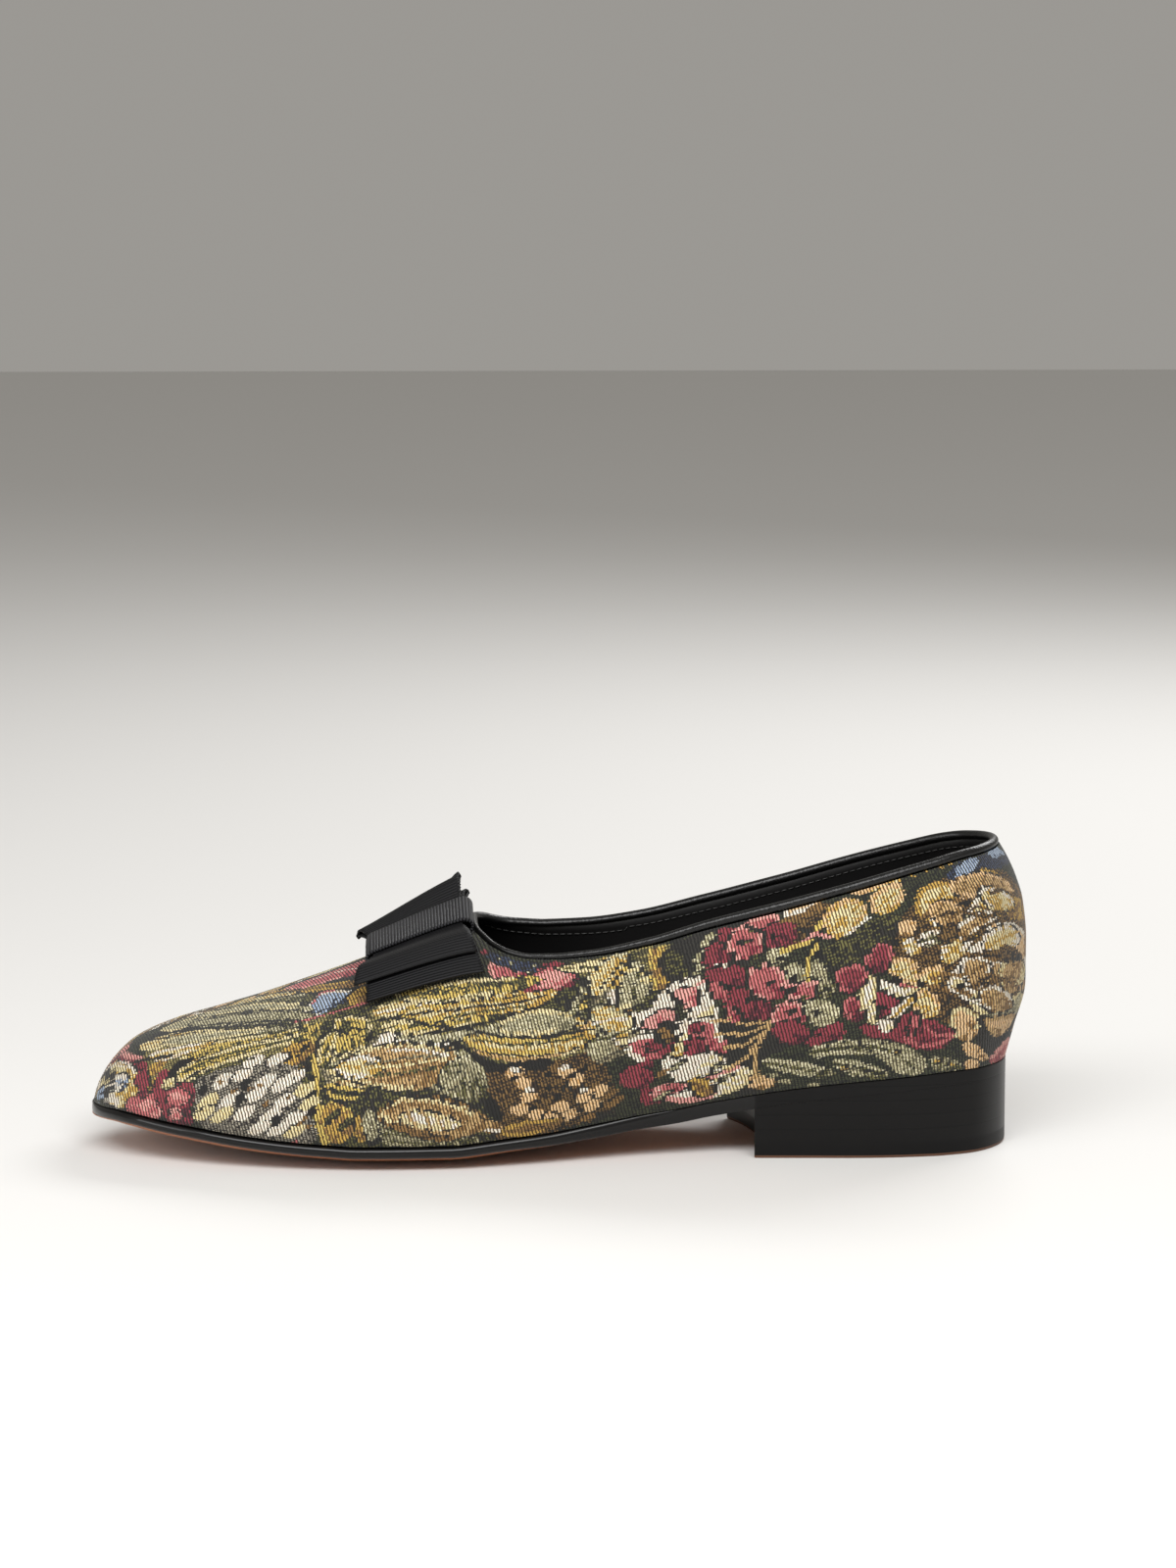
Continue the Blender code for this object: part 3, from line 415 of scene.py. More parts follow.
# Flowers, leaves and stems: cloth places are "mm from the toe, mm round from the ridge", outer side minus.
# A patch has a body yarn and a rim yarn, a line a width in mm, and a dab its two radii in mm.
MOTIFS = [
    # Dark and mossy ground between the motifs
    ("patch", "green", "", "1,-11 8,1.5 30,1.5 58,0 67,-31 67,-73 31.5,-51.5"),
    ("patch", "dark", "", "15,-6.5 29.5,-5.5 47.5,-19 42,-22.5 24.5,-17.5 16.5,-20"),
    ("patch", "hatch", "", "30.5,-36.5 35,-34.5 45,-36.5 54,-37 59,-44 66,-50.5 66.5,-72.5 48,-62 "
     "31.5,-50.5"),
    ("patch", "olive", "", "41,-7 66,-20.5 86.5,-33 114.5,-36.5 147.5,-42 153,-76.5 113.5,-88.5 66,-73.5 "
     "59,-35"),
    ("patch", "brown", "", "112,-64 119.5,-63.5 130.5,-62.5 137.5,-58.5 141,-60.5 143.5,-66 151.5,-70.5 "
     "153,-80 149,-84.5 139,-83 130.5,-84 118,-86 114.5,-80.5 117.5,-74.5 113.5,-69"),
    ("patch", "green", "", "147.5,-39.5 170,-46.5 186.5,-78.5 191.5,-108 147.5,-84.5"),
    ("patch", "dark", "", "165.5,-46.5 172,-49.5 178,-52 176,-56 170,-53 173,-62.5 176.5,-68 179,-77.5 "
     "176.5,-77 173,-65.5 167,-49"),
    ("patch", "green", "", "186.5,-50.5 225,-42.5 228.5,-101.5 186,-107.5"),
    ("patch", "dark", "", "177,-77 193,-81.5 197.5,-88 209.5,-91.5 207.5,-94 191.5,-92.5 189.5,-99 "
     "182,-94.5 178.5,-83.5"),
    ("patch", "brown", "", "197.5,-51.5 210,-48.5 211,-52 208,-56.5 203.5,-60.5 199,-62 197.5,-57"),
    ("patch", "green", "", "219.5,-43.5 256.5,-26 248.5,-43 232.5,-46 229,-69.5 219,-68.5"),
    ("patch", "brown", "", "225.5,-56.5 232.5,-49 236,-41 251,-33.5 262.5,-28.5 264.5,-35.5 264,-72 "
     "264,-79 252.5,-82 240.5,-78 232,-74 225,-66"),
    ("patch", "green", "", "189.5,-90.5 249,-79.5 254,-96.5 189,-108"),
    ("patch", "dark", "", "251.5,-77.5 257.5,-80.5 264,-68.5 264,-62 264,-74 264,-78.5 258.5,-88 252,-84"),
    ("patch", "moss", "", "16.5,-24.5 16,-12.5 30.5,-14 58.5,-24.5 71,-31.5 72.5,-41 56,-38.5 35,-35 "
     "22.5,-35"),
    ("patch", "drab", "", "16,-12.5 29.5,-1 55.5,-5 67,-15.5 67,-29 58.5,-28 30.5,-15.5"),
    ("patch", "moss", "", "80,-33 92,-35 114.5,-37.5 126.5,-40.5 130.5,-48 142,-52 147.5,-55 145,-62.5 "
     "133.5,-62.5 117,-62 106,-55 86.5,-46.5 80,-39.5"),
    ("patch", "drab", "", "67,-42 80.5,-43 103,-54 113,-65 110.5,-71.5 97.5,-65.5 86.5,-60 67,-54.5"),
    ("patch", "drab", "", "136.5,-51 139.5,-44 149,-40 160,-46.5 160,-64.5 153,-69.5 143,-66.5 "
     "140.5,-59.5"),
    ("patch", "moss", "", "130,-36 142,-36.5 159,-43 165.5,-47 165.5,-51 160,-50.5 142,-41.5"),
    # The flower at the tip of the toe
    ("patch", "burgundy", "pink", "3,0 5.5,0 7.5,-2 11.5,-14 15.5,-18 16.5,-24.5 14,-24 11.5,-18 "
     "8.5,-11.5 5,-8.5"),
    ("patch", "pink", "", "6,0 8.5,0 11,-3 9.5,-7.5"),
    ("patch", "straw", "cream", "1.5,-0.5 3,-0.5 7,-8.5 11,-16.5 14,-23.5 15,-27.5 13.5,-29 11,-29.5 "
     "7.5,-24.5 4,-15.5 1,-5.5"),
    ("patch", "blue", "cream", "5,-13 7.5,-15.5 10.5,-19.5 11,-23.5 9.5,-23 7,-19.5"),
    ("patch", "blue", "", "1.5,-6.5 3,-11 4.5,-15.5 2.5,-12"),
    ("patch", "dark", "", "2.5,-0.5 5.5,-9.5 7.5,-15.5 4,-10"),
    ("patch", "burgundy", "", "12.5,-24 15,-23.5 16,-22.5 17,-27.5 17,-31 15.5,-33.5 13.5,-31 15,-28.5"),
    ("patch", "pink", "rose", "10,-27.5 12.5,-29 15,-32.5 17,-32 20,-35 21,-39 20,-41.5 15.5,-37 11.5,-31"),
    ("patch", "gold", "", "17,-25 19.5,-22.5 23,-23.5 21.5,-26.5 18,-27.5"),
    ("patch", "gold", "", "17.5,-29.5 20.5,-28.5 19,-31 17.5,-31"),
    ("patch", "burgundy", "", "18.5,-31 20.5,-27.5 23.5,-29 23,-32 22,-34 24.5,-34.5 28,-34.5 30.5,-37.5 "
     "30.5,-42 28.5,-43 30.5,-49 25,-45.5 22.5,-42 21,-38 19.5,-34.5"),
    ("patch", "pink", "rose", "22.5,-36 24.5,-35 28,-37.5 29.5,-40.5 27,-41 23,-38.5"),
    ("patch", "pink", "", "23,-40 25.5,-41.5 27.5,-45 24.5,-44.5"),
    # Long leaves from the toe to the throat
    ("patch", "sage", "", "16,-11.5 23,-8.5 31.5,-8.5 29,-10.5 22,-10"),
    ("patch", "dark", "", "16.5,-9 23.5,-5 31.5,-9 43,-20 53,-28 42,-22 31.5,-15 22.5,-11.5"),
    ("patch", "celadon", "", "25.5,-3.5 34,-2.5 44,-2.5 54.5,-12.5 62,-21 64.5,-26 58.5,-25.5 50,-21.5 "
     "38.5,-13.5 31,-8.5"),
    ("line", "olive", 0.8, "35,-5 47.5,-13.5 58.5,-22.5"),
    ("patch", "sage", "", "36.5,-17 43,-18.5 58.5,-26.5 64.5,-30.5 58.5,-31 48,-27.5 38,-21"),
    ("patch", "straw", "", "13,-9.5 21,-11.5 31.5,-15.5 43,-23 49.5,-28.5 36.5,-23.5 24.5,-18.5 16.5,-17"),
    ("line", "dark", 0.9, "15,-9.5 24.5,-15 38,-21.5"),
    ("line", "dark", 1.6, "16.5,-20 23.5,-22 31,-24 38.5,-25"),
    ("patch", "yellow", "straw", "17,-19.5 25,-21 36.5,-24.5 48,-28 60,-31 71,-33 68.5,-35.5 57,-35.5 "
     "45,-33.5 35,-33 28,-33.5 22.5,-34.5 21,-32 24.5,-29.5 29.5,-28"),
    ("patch", "straw", "", "21.5,-32.5 25,-30 31,-29 38.5,-31 33.5,-32.5 27.5,-33"),
    ("line", "olive", 0.6, "29.5,-27.5 44.5,-30 61.5,-32.5"),
    ("line", "olive", 0.5, "34.5,-31.5 48,-33 59,-34"),
    ("patch", "black", "", "23,-29 27,-27.5 31,-28 27.5,-30.5 24,-32"),
    ("patch", "dark", "", "52.5,-11 60.5,-9.5 69.5,-16.5 76.5,-23.5 67,-20 60,-19.5"),
    ("patch", "olive", "", "58.5,-19 64,-18.5 67,-19 64.5,-24 60.5,-24.5"),
    ("patch", "bronze", "gold", "40,-1 47.5,-0.5 55.5,-0.5 65,-11 76,-16 80,-21.5 69.5,-17 58.5,-10 "
     "49.5,-5"),
    # Rose, blue and gold blooms beside the bow
    ("patch", "rose", "pink", "54.5,-0.5 60.5,1 67,1 73,0 80,-0.5 80,-11 76,-12.5 69.5,-9.5 64.5,-9.5 "
     "58.5,-7"),
    ("line", "burgundy", 0.8, "58.5,1 67,0.5 76.5,0"),
    ("line", "cream", 0.5, "62,-2 70,-3 79,-9"),
    ("patch", "blue", "cream", "60.5,-25 62,-22.5 65.5,-16.5 71,-19 75,-22 74,-25.5 70,-27 64.5,-28.5 "
     "61.5,-27.5"),
    ("line", "navy", 0.9, "61.5,-26.5 66,-27 71.5,-26 75,-23.5"),
    ("line", "rose", 0.8, "64,-21 66,-16.5 70,-18"),
    ("patch", "gold", "", "75,-22.5 80,-22 80,-30 76.5,-30.5 73.5,-26.5"),
    ("line", "rose", 0.8, "59,-28 67,-29.5 79,-30"),
    ("line", "yellow", 1.5, "64,-34 64.5,-44 65.5,-53 65.5,-61.5 67.5,-71"),
    ("patch", "dark", "", "65,-37.5 69.5,-39 69.5,-46 67,-47.5 65,-43.5"),
    ("patch", "yellow", "straw", "69.5,-33 73.5,-32.5 77.5,-35 80.5,-38.5 80.5,-44.5 78.5,-46.5 75,-46 "
     "71,-47 69.5,-43 70.5,-38.5"),
    ("dab", "olive", (1.7, 1.9), "73.5,-37 68.5,-36.5"),
    ("dab", "black", (1.4, 1.1), "80,-44 67.5,-37.5"),
    ("patch", "gold", "", "55.5,-37.5 60,-36 64.5,-39 64,-43 59,-44.5 56,-41"),
    ("patch", "gold", "", "59,-46 63,-45 62,-48"),
    ("dab", "black", (1.1, 1.1), "62,-39.5 63,-46.5 64,-50 64.5,-54.5 57.5,-41"),
    # White florets over the ball
    ("dab", "cream", (3.1, 1.9), "47.5,-37.5 54,-40 39,-40 44,-40.5 51,-45.5 59,-47.5 41,-46.5 48.5,-48 "
     "55.5,-48.5 56,-53.5 45,-52 52.5,-56 59.5,-59.5 49,-58 54.5,-60.5"),
    ("dab", "straw", (3.1, 1.9), "34.5,-44 38.5,-49.5 33.5,-46.5 62,-52.5 63.5,-57 59,-63"),
    ("dab", "black", (1.4, 1.7), "45,-44 43.5,-47.5 54,-58 64,-59.5 33,-40"),
    ("dab", "bronze", (0.8, 0.7), "38,-40 49.5,-46 42,-44.5 46.5,-45.5 57.5,-53 51,-52 60.5,-61.5 "
     "63,-63.5 62,-60.5"),
    ("dab", "rose", (1.1, 0.8), "59,-67"),
    # Gold berries and small leaves behind them
    ("patch", "gold", "yellow", "65.5,-59 68.5,-58.5 71.5,-59.5 75,-63 76,-68.5 73.5,-71.5 68.5,-71 "
     "66,-64.5"),
    ("dab", "olive", (1.4, 1.1), "70.5,-62.5 72.5,-67 68.5,-63.5 74,-66"),
    ("patch", "gold", "", "76,-65.5 79,-65.5 80.5,-70 78,-74 76,-71"),
    ("patch", "olive", "yellow", "67,-52.5 73.5,-56 82.5,-60 79,-61.5 72.5,-59.5 67.5,-56"),
    ("patch", "sage", "straw", "67.5,-47 72.5,-46 79,-46 83,-48.5 81,-51.5 74,-53 69.5,-51"),
    ("patch", "celadon", "", "77.5,-66 80,-64 82.5,-68 83,-72.5 80,-74.5"),
    ("patch", "cream", "", "79,-49.5 84,-44.5 85.5,-42.5 89,-46.5 97.5,-51.5 104.5,-54.5 97.5,-53.5 "
     "87.5,-51"),
    ("patch", "tan", "straw", "80,-50 87.5,-51 95,-53 102.5,-54.5 103.5,-56.5 97.5,-59 91.5,-60 85.5,-60 "
     "79,-58 72.5,-55 69,-52 76,-53"),
    ("line", "olive", 0.7, "71,-53 81,-55 92,-56.5 99.5,-56"),
    # The long pale leaves of the side
    ("patch", "straw", "", "80.5,-36 82.5,-33.5 92,-36 103.5,-38.5 114.5,-39 126,-40.5 124,-42.5 "
     "114.5,-44 106,-44.5 97.5,-43 89,-40"),
    ("line", "cream", 0.8, "82.5,-36 92,-38.5 103.5,-40 114.5,-40.5"),
    ("line", "dark", 1.2, "82.5,-38.5 92,-42 103.5,-45 115.5,-45"),
    ("patch", "yellow", "straw", "83,-40 95,-44 108.5,-47 120,-45.5 124,-42.5 126,-44 121.5,-47.5 111,-50 "
     "100,-49.5 92,-47.5 85,-43"),
    ("line", "black", 1.0, "95.5,-48.5 108.5,-50.5 117.5,-49 122.5,-47.5"),
    ("line", "black", 0.5, "114.5,-42 117.5,-40.5"),
    ("patch", "celadon", "", "85.5,-45 97.5,-50.5 108.5,-52 119.5,-50.5 123,-48.5 130.5,-49.5 135.5,-51.5 "
     "133.5,-53 125,-54.5 114.5,-55.5 103,-53.5 92,-49.5"),
    ("patch", "black", "", "120,-48 124,-46 130.5,-48 136.5,-49.5 134,-51 127.5,-48.5"),
    ("patch", "straw", "celadon", "116,-55.5 118.5,-53 123.5,-49 128.5,-49.5 134,-52 137,-52.5 142.5,-53 "
     "139.5,-55 130.5,-55 122.5,-56"),
    ("line", "dark", 0.9, "100,-52.5 114.5,-56 126.5,-56.5 138,-55"),
    ("patch", "straw", "tan", "108.5,-56 117,-57 128,-57.5 139,-57 142,-54 147.5,-55.5 145.5,-61 "
     "139,-61.5 130.5,-62 119.5,-61.5 112,-59"),
    ("patch", "celadon", "", "140.5,-59.5 145,-57 148.5,-63 147.5,-67 143,-65"),
    ("patch", "black", "", "102,-53 106,-54.5 110.5,-60 117.5,-62.5 125,-62 132.5,-62.5 129.5,-64.5 "
     "119.5,-64.5 112.5,-63.5 108,-59"),
    ("patch", "sage", "celadon", "94,-60.5 101,-57.5 105.5,-56 109.5,-60.5 112.5,-65 111,-68.5 107.5,-70 "
     "102,-67 97.5,-64"),
    ("patch", "olive", "", "82.5,-63 87.5,-60.5 92.5,-60.5 96.5,-65 103,-69.5 109.5,-71 113,-73.5 "
     "117.5,-78 113.5,-78 108,-73 97.5,-67.5 89,-64.5 84,-65"),
    ("patch", "tan", "bronze", "81.5,-67 86.5,-64.5 95,-66 103,-69.5 108.5,-73.5 114,-77.5 118.5,-81 "
     "111,-81.5 102.5,-79 95,-75.5 87.5,-71.5 83,-69"),
    ("line", "cream", 0.9, "96.5,-75.5 105.5,-79 117.5,-81.5"),
    ("patch", "sage", "", "82.5,-69.5 86.5,-72.5 97.5,-78.5 112,-83 108.5,-84.5 92,-80 84,-76.5"),
    ("line", "olive", 0.7, "85.5,-72.5 97.5,-78.5 114,-82"),
    ("patch", "black", "", "112.5,-71 116,-72.5 117.5,-78 114.5,-77"),
    # Peach florets on brown
    ("dab", "peach", (2.5, 1.7), "121,-65 123.5,-68 135.5,-66.5 138.5,-70 125,-72 122.5,-75.5 127.5,-77.5 "
     "134,-76.5 141,-75.5 143,-79 136.5,-79.5 145,-75.5 130.5,-79"),
    ("dab", "cream", (1.4, 0.8), "121,-64 140.5,-73.5 125,-70 135.5,-65.5"),
    ("dab", "black", (1.1, 0.8), "121,-66.5 130.5,-70.5 126,-75.5 137.5,-68.5 133,-73.5 130.5,-66.5 "
     "129.5,-64.5 141,-67.5"),
    ("dab", "bronze", (2.2, 1.1), "142,-82 119.5,-81 126.5,-82 148.5,-81"),
    ("patch", "bronze", "gold", "116,-81 125,-79 136.5,-80.5 131.5,-83 120,-84"),
    # Roses and a blue sprig under the collar
    ("patch", "burgundy", "", "105,-38.5 114.5,-36.5 120,-35.5 125.5,-35 131,-34 134.5,-35 139.5,-39.5 "
     "138.5,-42.5 134,-43.5 130,-45.5 125,-44 124,-40 114.5,-40.5"),
    ("patch", "rose", "pink", "113.5,-30 117.5,-31.5 122.5,-33 123,-37.5 119,-39.5 115.5,-36.5"),
    ("patch", "pink", "rose", "126,-37.5 130,-35 135,-36.5 139,-39.5 136.5,-41.5 132.5,-42 129,-42.5 "
     "126.5,-41"),
    ("patch", "navy", "", "112,-24 115.5,-27 119,-29.5 122.5,-32 128.5,-33.5 126.5,-36 122.5,-35 "
     "118.5,-31.5 115.5,-30.5"),
    ("dab", "celadon", (0.8, 0.6), "123.5,-34 126.5,-34 125,-35.5 117,-29 120,-31.5"),
    ("dab", "burgundy", (0.8, 0.8), "113,-25.5"),
    # Upright leaves in the middle of the side
    ("patch", "yellow", "straw", "131.5,-35.5 139.5,-37 147.5,-39 157,-43 154,-44.5 145.5,-41 138,-38.5"),
    ("patch", "sage", "celadon", "136.5,-50 139,-45 143.5,-41.5 148.5,-41 146,-44 141,-47 142,-49.5 "
     "138,-51.5"),
    ("patch", "yellow", "", "139,-50.5 141,-46.5 147,-44 148,-46.5 144,-48 142,-49.5"),
    ("line", "dark", 0.5, "139.5,-46 145,-45.5 148.5,-45.5"),
    ("patch", "olive", "", "127,-45.5 132.5,-44 138,-42.5 136.5,-47 134,-50 130,-48"),
    ("patch", "sage", "", "138,-51.5 143,-50.5 147.5,-50.5 147.5,-54.5 143,-53.5"),
    ("patch", "gold", "yellow", "148.5,-46 151,-43.5 155.5,-45.5 153.5,-51.5 154,-60 153,-67.5 150,-66 "
     "149,-57"),
    ("patch", "cream", "", "148,-47.5 150.5,-51.5 153,-57.5 150.5,-56.5 148.5,-53"),
    ("patch", "cream", "", "147.5,-56 151.5,-60 153.5,-63 152.5,-66.5 149,-63.5"),
    ("patch", "sage", "celadon", "152.5,-43.5 156.5,-45.5 159,-51.5 158.5,-56.5 156,-53.5 155,-49.5"),
    ("patch", "sage", "", "154,-53 157.5,-56.5 159,-61 155.5,-60 154,-55.5"),
    ("patch", "gold", "yellow", "159,-44 162,-45.5 164.5,-47 162.5,-49.5 164.5,-54.5 165,-59 162,-58.5 "
     "160,-53.5 160.5,-49"),
    ("patch", "olive", "", "157.5,-54.5 161,-57 162,-60.5 160,-62 158,-60"),
    ("patch", "olive", "dark", "162.5,-48.5 165.5,-47.5 168.5,-50 170.5,-54.5 171.5,-59 169,-59.5 "
     "165.5,-57 163,-52.5"),
    ("dab", "celadon", (2.2, 1.4), "176,-53.5 174,-56.5 173,-59.5"),
    # The large white and pink flower
    ("patch", "cream", "", "163,-58.5 165.5,-57.5 170,-60 173.5,-62 175,-66 176.5,-70.5 178,-74 179.5,-79 "
     "174.5,-75.5 171,-70.5 168.5,-65.5 164.5,-63"),
    ("patch", "pink", "", "165.5,-60.5 170,-62 173,-65.5 173,-68.5 171,-69.5 168.5,-65"),
    ("patch", "cream", "", "153,-58.5 157,-60.5 160,-61.5 161,-59 164,-58.5 166,-64.5 168,-70 167.5,-73 "
     "163,-69 158.5,-67 156,-64.5 153.5,-61.5"),
    ("patch", "pink", "", "156,-63 159.5,-63.5 164,-63.5 167,-68 166,-69.5 160,-67.5"),
    ("patch", "rose", "cream", "152.5,-66.5 155.5,-66 159.5,-68.5 165,-72.5 166.5,-76 162.5,-77 158.5,-76 "
     "155,-72"),
    ("patch", "burgundy", "", "157,-70 161,-70.5 164.5,-73.5 162.5,-74.5 159.5,-73"),
    ("patch", "burgundy", "", "157,-74.5 161,-76.5 158.5,-78.5"),
    ("patch", "rose", "cream", "171,-72 174.5,-74.5 179,-78.5 178,-81.5 181.5,-86 181,-89.5 176.5,-87 "
     "172,-81.5 169.5,-76.5 170,-73.5"),
    ("patch", "burgundy", "", "170,-73.5 173.5,-74.5 174.5,-78 171.5,-76.5"),
    ("patch", "burgundy", "", "169.5,-77 173.5,-79.5 175,-82.5 174,-86 171.5,-85 170,-80.5"),
    ("patch", "cream", "", "162.5,-78.5 167,-78.5 170.5,-83 174.5,-84.5 179,-88.5 182,-93 181.5,-96 "
     "177.5,-92 173,-90.5 170,-88.5 168,-88 165.5,-83.5"),
    ("dab", "sage", (1.9, 1.1), "167,-82.5 178,-91.5"),
    ("patch", "cream", "", "167,-70 170,-71.5 170.5,-77.5 167.5,-75"),
    ("patch", "straw", "", "165.5,-75 168.5,-76.5 169.5,-81 166,-79.5"),
    ("patch", "bronze", "dark", "160.5,-68 164,-67.5 166.5,-71.5 167,-74 164.5,-74.5 161.5,-71.5"),
    ("dab", "black", (1.1, 0.8), "167.5,-74.5 156,-64.5"),
    ("patch", "burgundy", "", "150.5,-74.5 154,-73.5 157.5,-76.5 161,-81 159.5,-83 155.5,-81 152,-77.5"),
    ("patch", "burgundy", "", "157,-82 160,-85 164,-91 158.5,-88.5 157,-84.5"),
    ("dab", "bronze", (1.9, 1.1), "163,-82 148.5,-78 150,-81"),
    ("patch", "cream", "pink", "158.5,-85 164.5,-86 170,-90.5 175.5,-93.5 181,-94 188.5,-96 187.5,-101.5 "
     "181,-101.5 174.5,-98.5 169,-95 164.5,-90.5"),
    ("patch", "rose", "", "161.5,-86 167,-87.5 170,-91.5 165.5,-89.5"),
    ("dab", "sage", (2.2, 0.8), "163,-88.5 181,-96.5"),
    ("patch", "bronze", "gold", "171,-89 176.5,-94.5 178,-99 174,-97.5 171,-93"),
    ("patch", "peach", "", "187.5,-97.5 195,-99.5 194.5,-102 189,-102.5"),
    # Its branching stem
    ("line", "tan", 0.9, "193,-82.5 186.5,-83 177.5,-77.5"),
    ("line", "tan", 0.9, "192,-84 186,-86 177.5,-82"),
    ("line", "tan", 0.9, "191.5,-86 186,-89 180.5,-87.5"),
    ("line", "tan", 1.0, "191.5,-86.5 187,-92.5 182,-94.5"),
    ("line", "tan", 1.4, "193.5,-84 190.5,-88 189.5,-93.5 190.5,-100"),
    # The tall burgundy and rose bloom
    ("patch", "burgundy", "", "174.5,-56 177,-55.5 180.5,-58.5 183,-61.5 182,-64 178.5,-63.5 175,-59.5"),
    ("patch", "burgundy", "", "175,-61.5 180,-64 184.5,-65.5 187,-69.5 186,-73 181.5,-72 177.5,-67"),
    ("patch", "burgundy", "", "180.5,-70.5 186,-72.5 189.5,-75 193.5,-77 194.5,-80.5 189.5,-82 184.5,-80 "
     "181.5,-76"),
    ("patch", "burgundy", "", "178.5,-53 182.5,-54 184.5,-56.5 183,-59 179.5,-56.5"),
    ("patch", "rose", "pink", "181,-56.5 184,-55 187.5,-55 191.5,-57 191.5,-61 189.5,-64 185,-64 "
     "182,-60.5"),
    ("patch", "rose", "pink", "186.5,-54 191,-52.5 195.5,-52 196.5,-54 193.5,-56.5 189,-56.5"),
    ("patch", "burgundy", "", "191,-56 195,-54 199,-53.5 201,-57 199.5,-61.5 194.5,-61.5 192,-60"),
    ("patch", "rose", "", "177,-65.5 180.5,-70 182.5,-74 179,-72.5 177,-68.5"),
    ("patch", "rose", "", "181.5,-76 184,-79 186,-81.5 182.5,-81"),
    ("patch", "rose", "pink", "187,-68.5 190.5,-66 194.5,-66 196.5,-68.5 199,-71.5 197.5,-75 193.5,-76.5 "
     "189,-75 187,-71.5"),
    ("patch", "rose", "pink", "196.5,-71 200.5,-71.5 204,-72 207.5,-71.5 207,-75 203,-76.5 199,-76.5"),
    ("patch", "rose", "pink", "194.5,-79 198.5,-76.5 202.5,-77.5 203.5,-81 202,-84.5 197.5,-84 194,-82"),
    ("patch", "burgundy", "", "194.5,-83.5 199.5,-82 204.5,-85 203.5,-89 198.5,-89 195,-86.5"),
    ("patch", "burgundy", "", "203.5,-88 208.5,-84.5 213.5,-83.5 214.5,-88 211,-91 206,-90.5"),
    ("patch", "celadon", "", "192,-64 195,-61.5 198.5,-62.5 196.5,-66 193.5,-66"),
    ("patch", "celadon", "", "197.5,-67.5 200.5,-66 203.5,-68.5 202.5,-71.5 198.5,-71"),
    ("patch", "celadon", "", "203.5,-67.5 207,-65.5 210,-67.5 209,-71 205.5,-70"),
    ("patch", "sage", "", "206.5,-72 210,-71.5 211.5,-74.5 209,-76.5 206.5,-75.5"),
    ("patch", "celadon", "", "203,-77.5 207,-77 211,-78 213,-81 210.5,-84 207,-84.5 203.5,-81.5"),
    ("dab", "cream", (0.8, 0.8), "180.5,-64 185,-59 193,-71.5 187,-76 178,-62.5"),
    ("dab", "olive", (1.1, 0.8), "189,-56.5 186.5,-59.5 199,-80 200,-73.5 203,-76 190.5,-66.5 189,-64"),
    ("dab", "black", (1.1, 0.8), "194.5,-58.5 182.5,-71 206.5,-80.5 207.5,-87 179,-63 196.5,-64.5 "
     "200.5,-70"),
    # Buds, stems and a leaf behind it
    ("patch", "peach", "cream", "197,-50.5 203,-48.5 210.5,-46 208,-49.5 202,-51.5 198,-53"),
    ("line", "bronze", 1.6, "197.5,-54 202.5,-52.5 208,-50.5"),
    ("line", "yellow", 1.4, "197,-62.5 203.5,-60.5 208,-55 211,-50.5"),
    ("line", "yellow", 1.1, "203.5,-71.5 204,-65.5 207,-61"),
    ("patch", "straw", "peach", "209.5,-52 213,-49 217,-48.5 220.5,-50.5 219.5,-54 215.5,-57.5 213.5,-60 "
     "210.5,-58.5 208.5,-55"),
    ("line", "cream", 0.8, "213.5,-59.5 217.5,-56.5 220.5,-53.5"),
    ("patch", "straw", "peach", "214,-46 220.5,-44 229.5,-39.5 230,-41 222.5,-45.5 216.5,-47.5"),
    ("patch", "straw", "peach", "221.5,-48 226,-43.5 230.5,-41.5 231,-45 228.5,-49 224.5,-52 221.5,-51.5"),
    ("patch", "olive", "", "207,-63.5 211.5,-61 216.5,-58.5 221.5,-54 226,-52.5 230,-50.5 227.5,-57 "
     "224,-61 220.5,-64 215.5,-67 211,-68.5 208.5,-67"),
    ("dab", "black", (0.6, 2.5), "211.5,-62 222.5,-56.5"),
    ("dab", "black", (1.4, 1.4), "227.5,-59 207,-64"),
    # Red and white petals in front of the heel
    ("patch", "burgundy", "rose", "219.5,-66 221.5,-61.5 224.5,-59.5 227,-61.5 226.5,-66 223,-69 220,-69"),
    ("patch", "burgundy", "rose", "211.5,-70 214.5,-67.5 218,-67.5 220.5,-69.5 218.5,-73.5 215,-75.5 "
     "212.5,-73"),
    ("patch", "burgundy", "rose", "213.5,-78 216.5,-76 219,-78.5 219,-83 215.5,-83.5"),
    ("patch", "burgundy", "", "221,-74 225.5,-74 228.5,-75 226,-80 223.5,-81.5"),
    ("dab", "black", (1.7, 0.8), "228,-74.5 224.5,-78.5"),
    ("patch", "burgundy", "", "218.5,-84 224.5,-85 229,-80.5 232.5,-77.5 236,-77.5 241.5,-80.5 "
     "245.5,-81.5 243.5,-85 238.5,-87.5 234.5,-87.5 230.5,-86.5 225,-88 220,-87"),
    ("patch", "rose", "", "231,-83 232.5,-78.5 234.5,-77.5 233.5,-81 233,-85.5"),
    ("line", "rose", 1.1, "231,-86 235.5,-87 240.5,-85.5 244.5,-83"),
    ("line", "rose", 1.1, "236.5,-81 240,-83 244.5,-82"),
    ("patch", "cream", "straw", "218,-74.5 220.5,-70.5 222.5,-69.5 222,-74 221.5,-79.5 223,-84.5 220,-82 "
     "218,-77.5"),
    ("patch", "cream", "", "222.5,-69.5 225.5,-71.5 230.5,-72 235,-69 232.5,-73 226.5,-74.5 223.5,-73.5"),
    ("line", "rose", 0.8, "227,-70.5 232,-70.5 235.5,-69.5"),
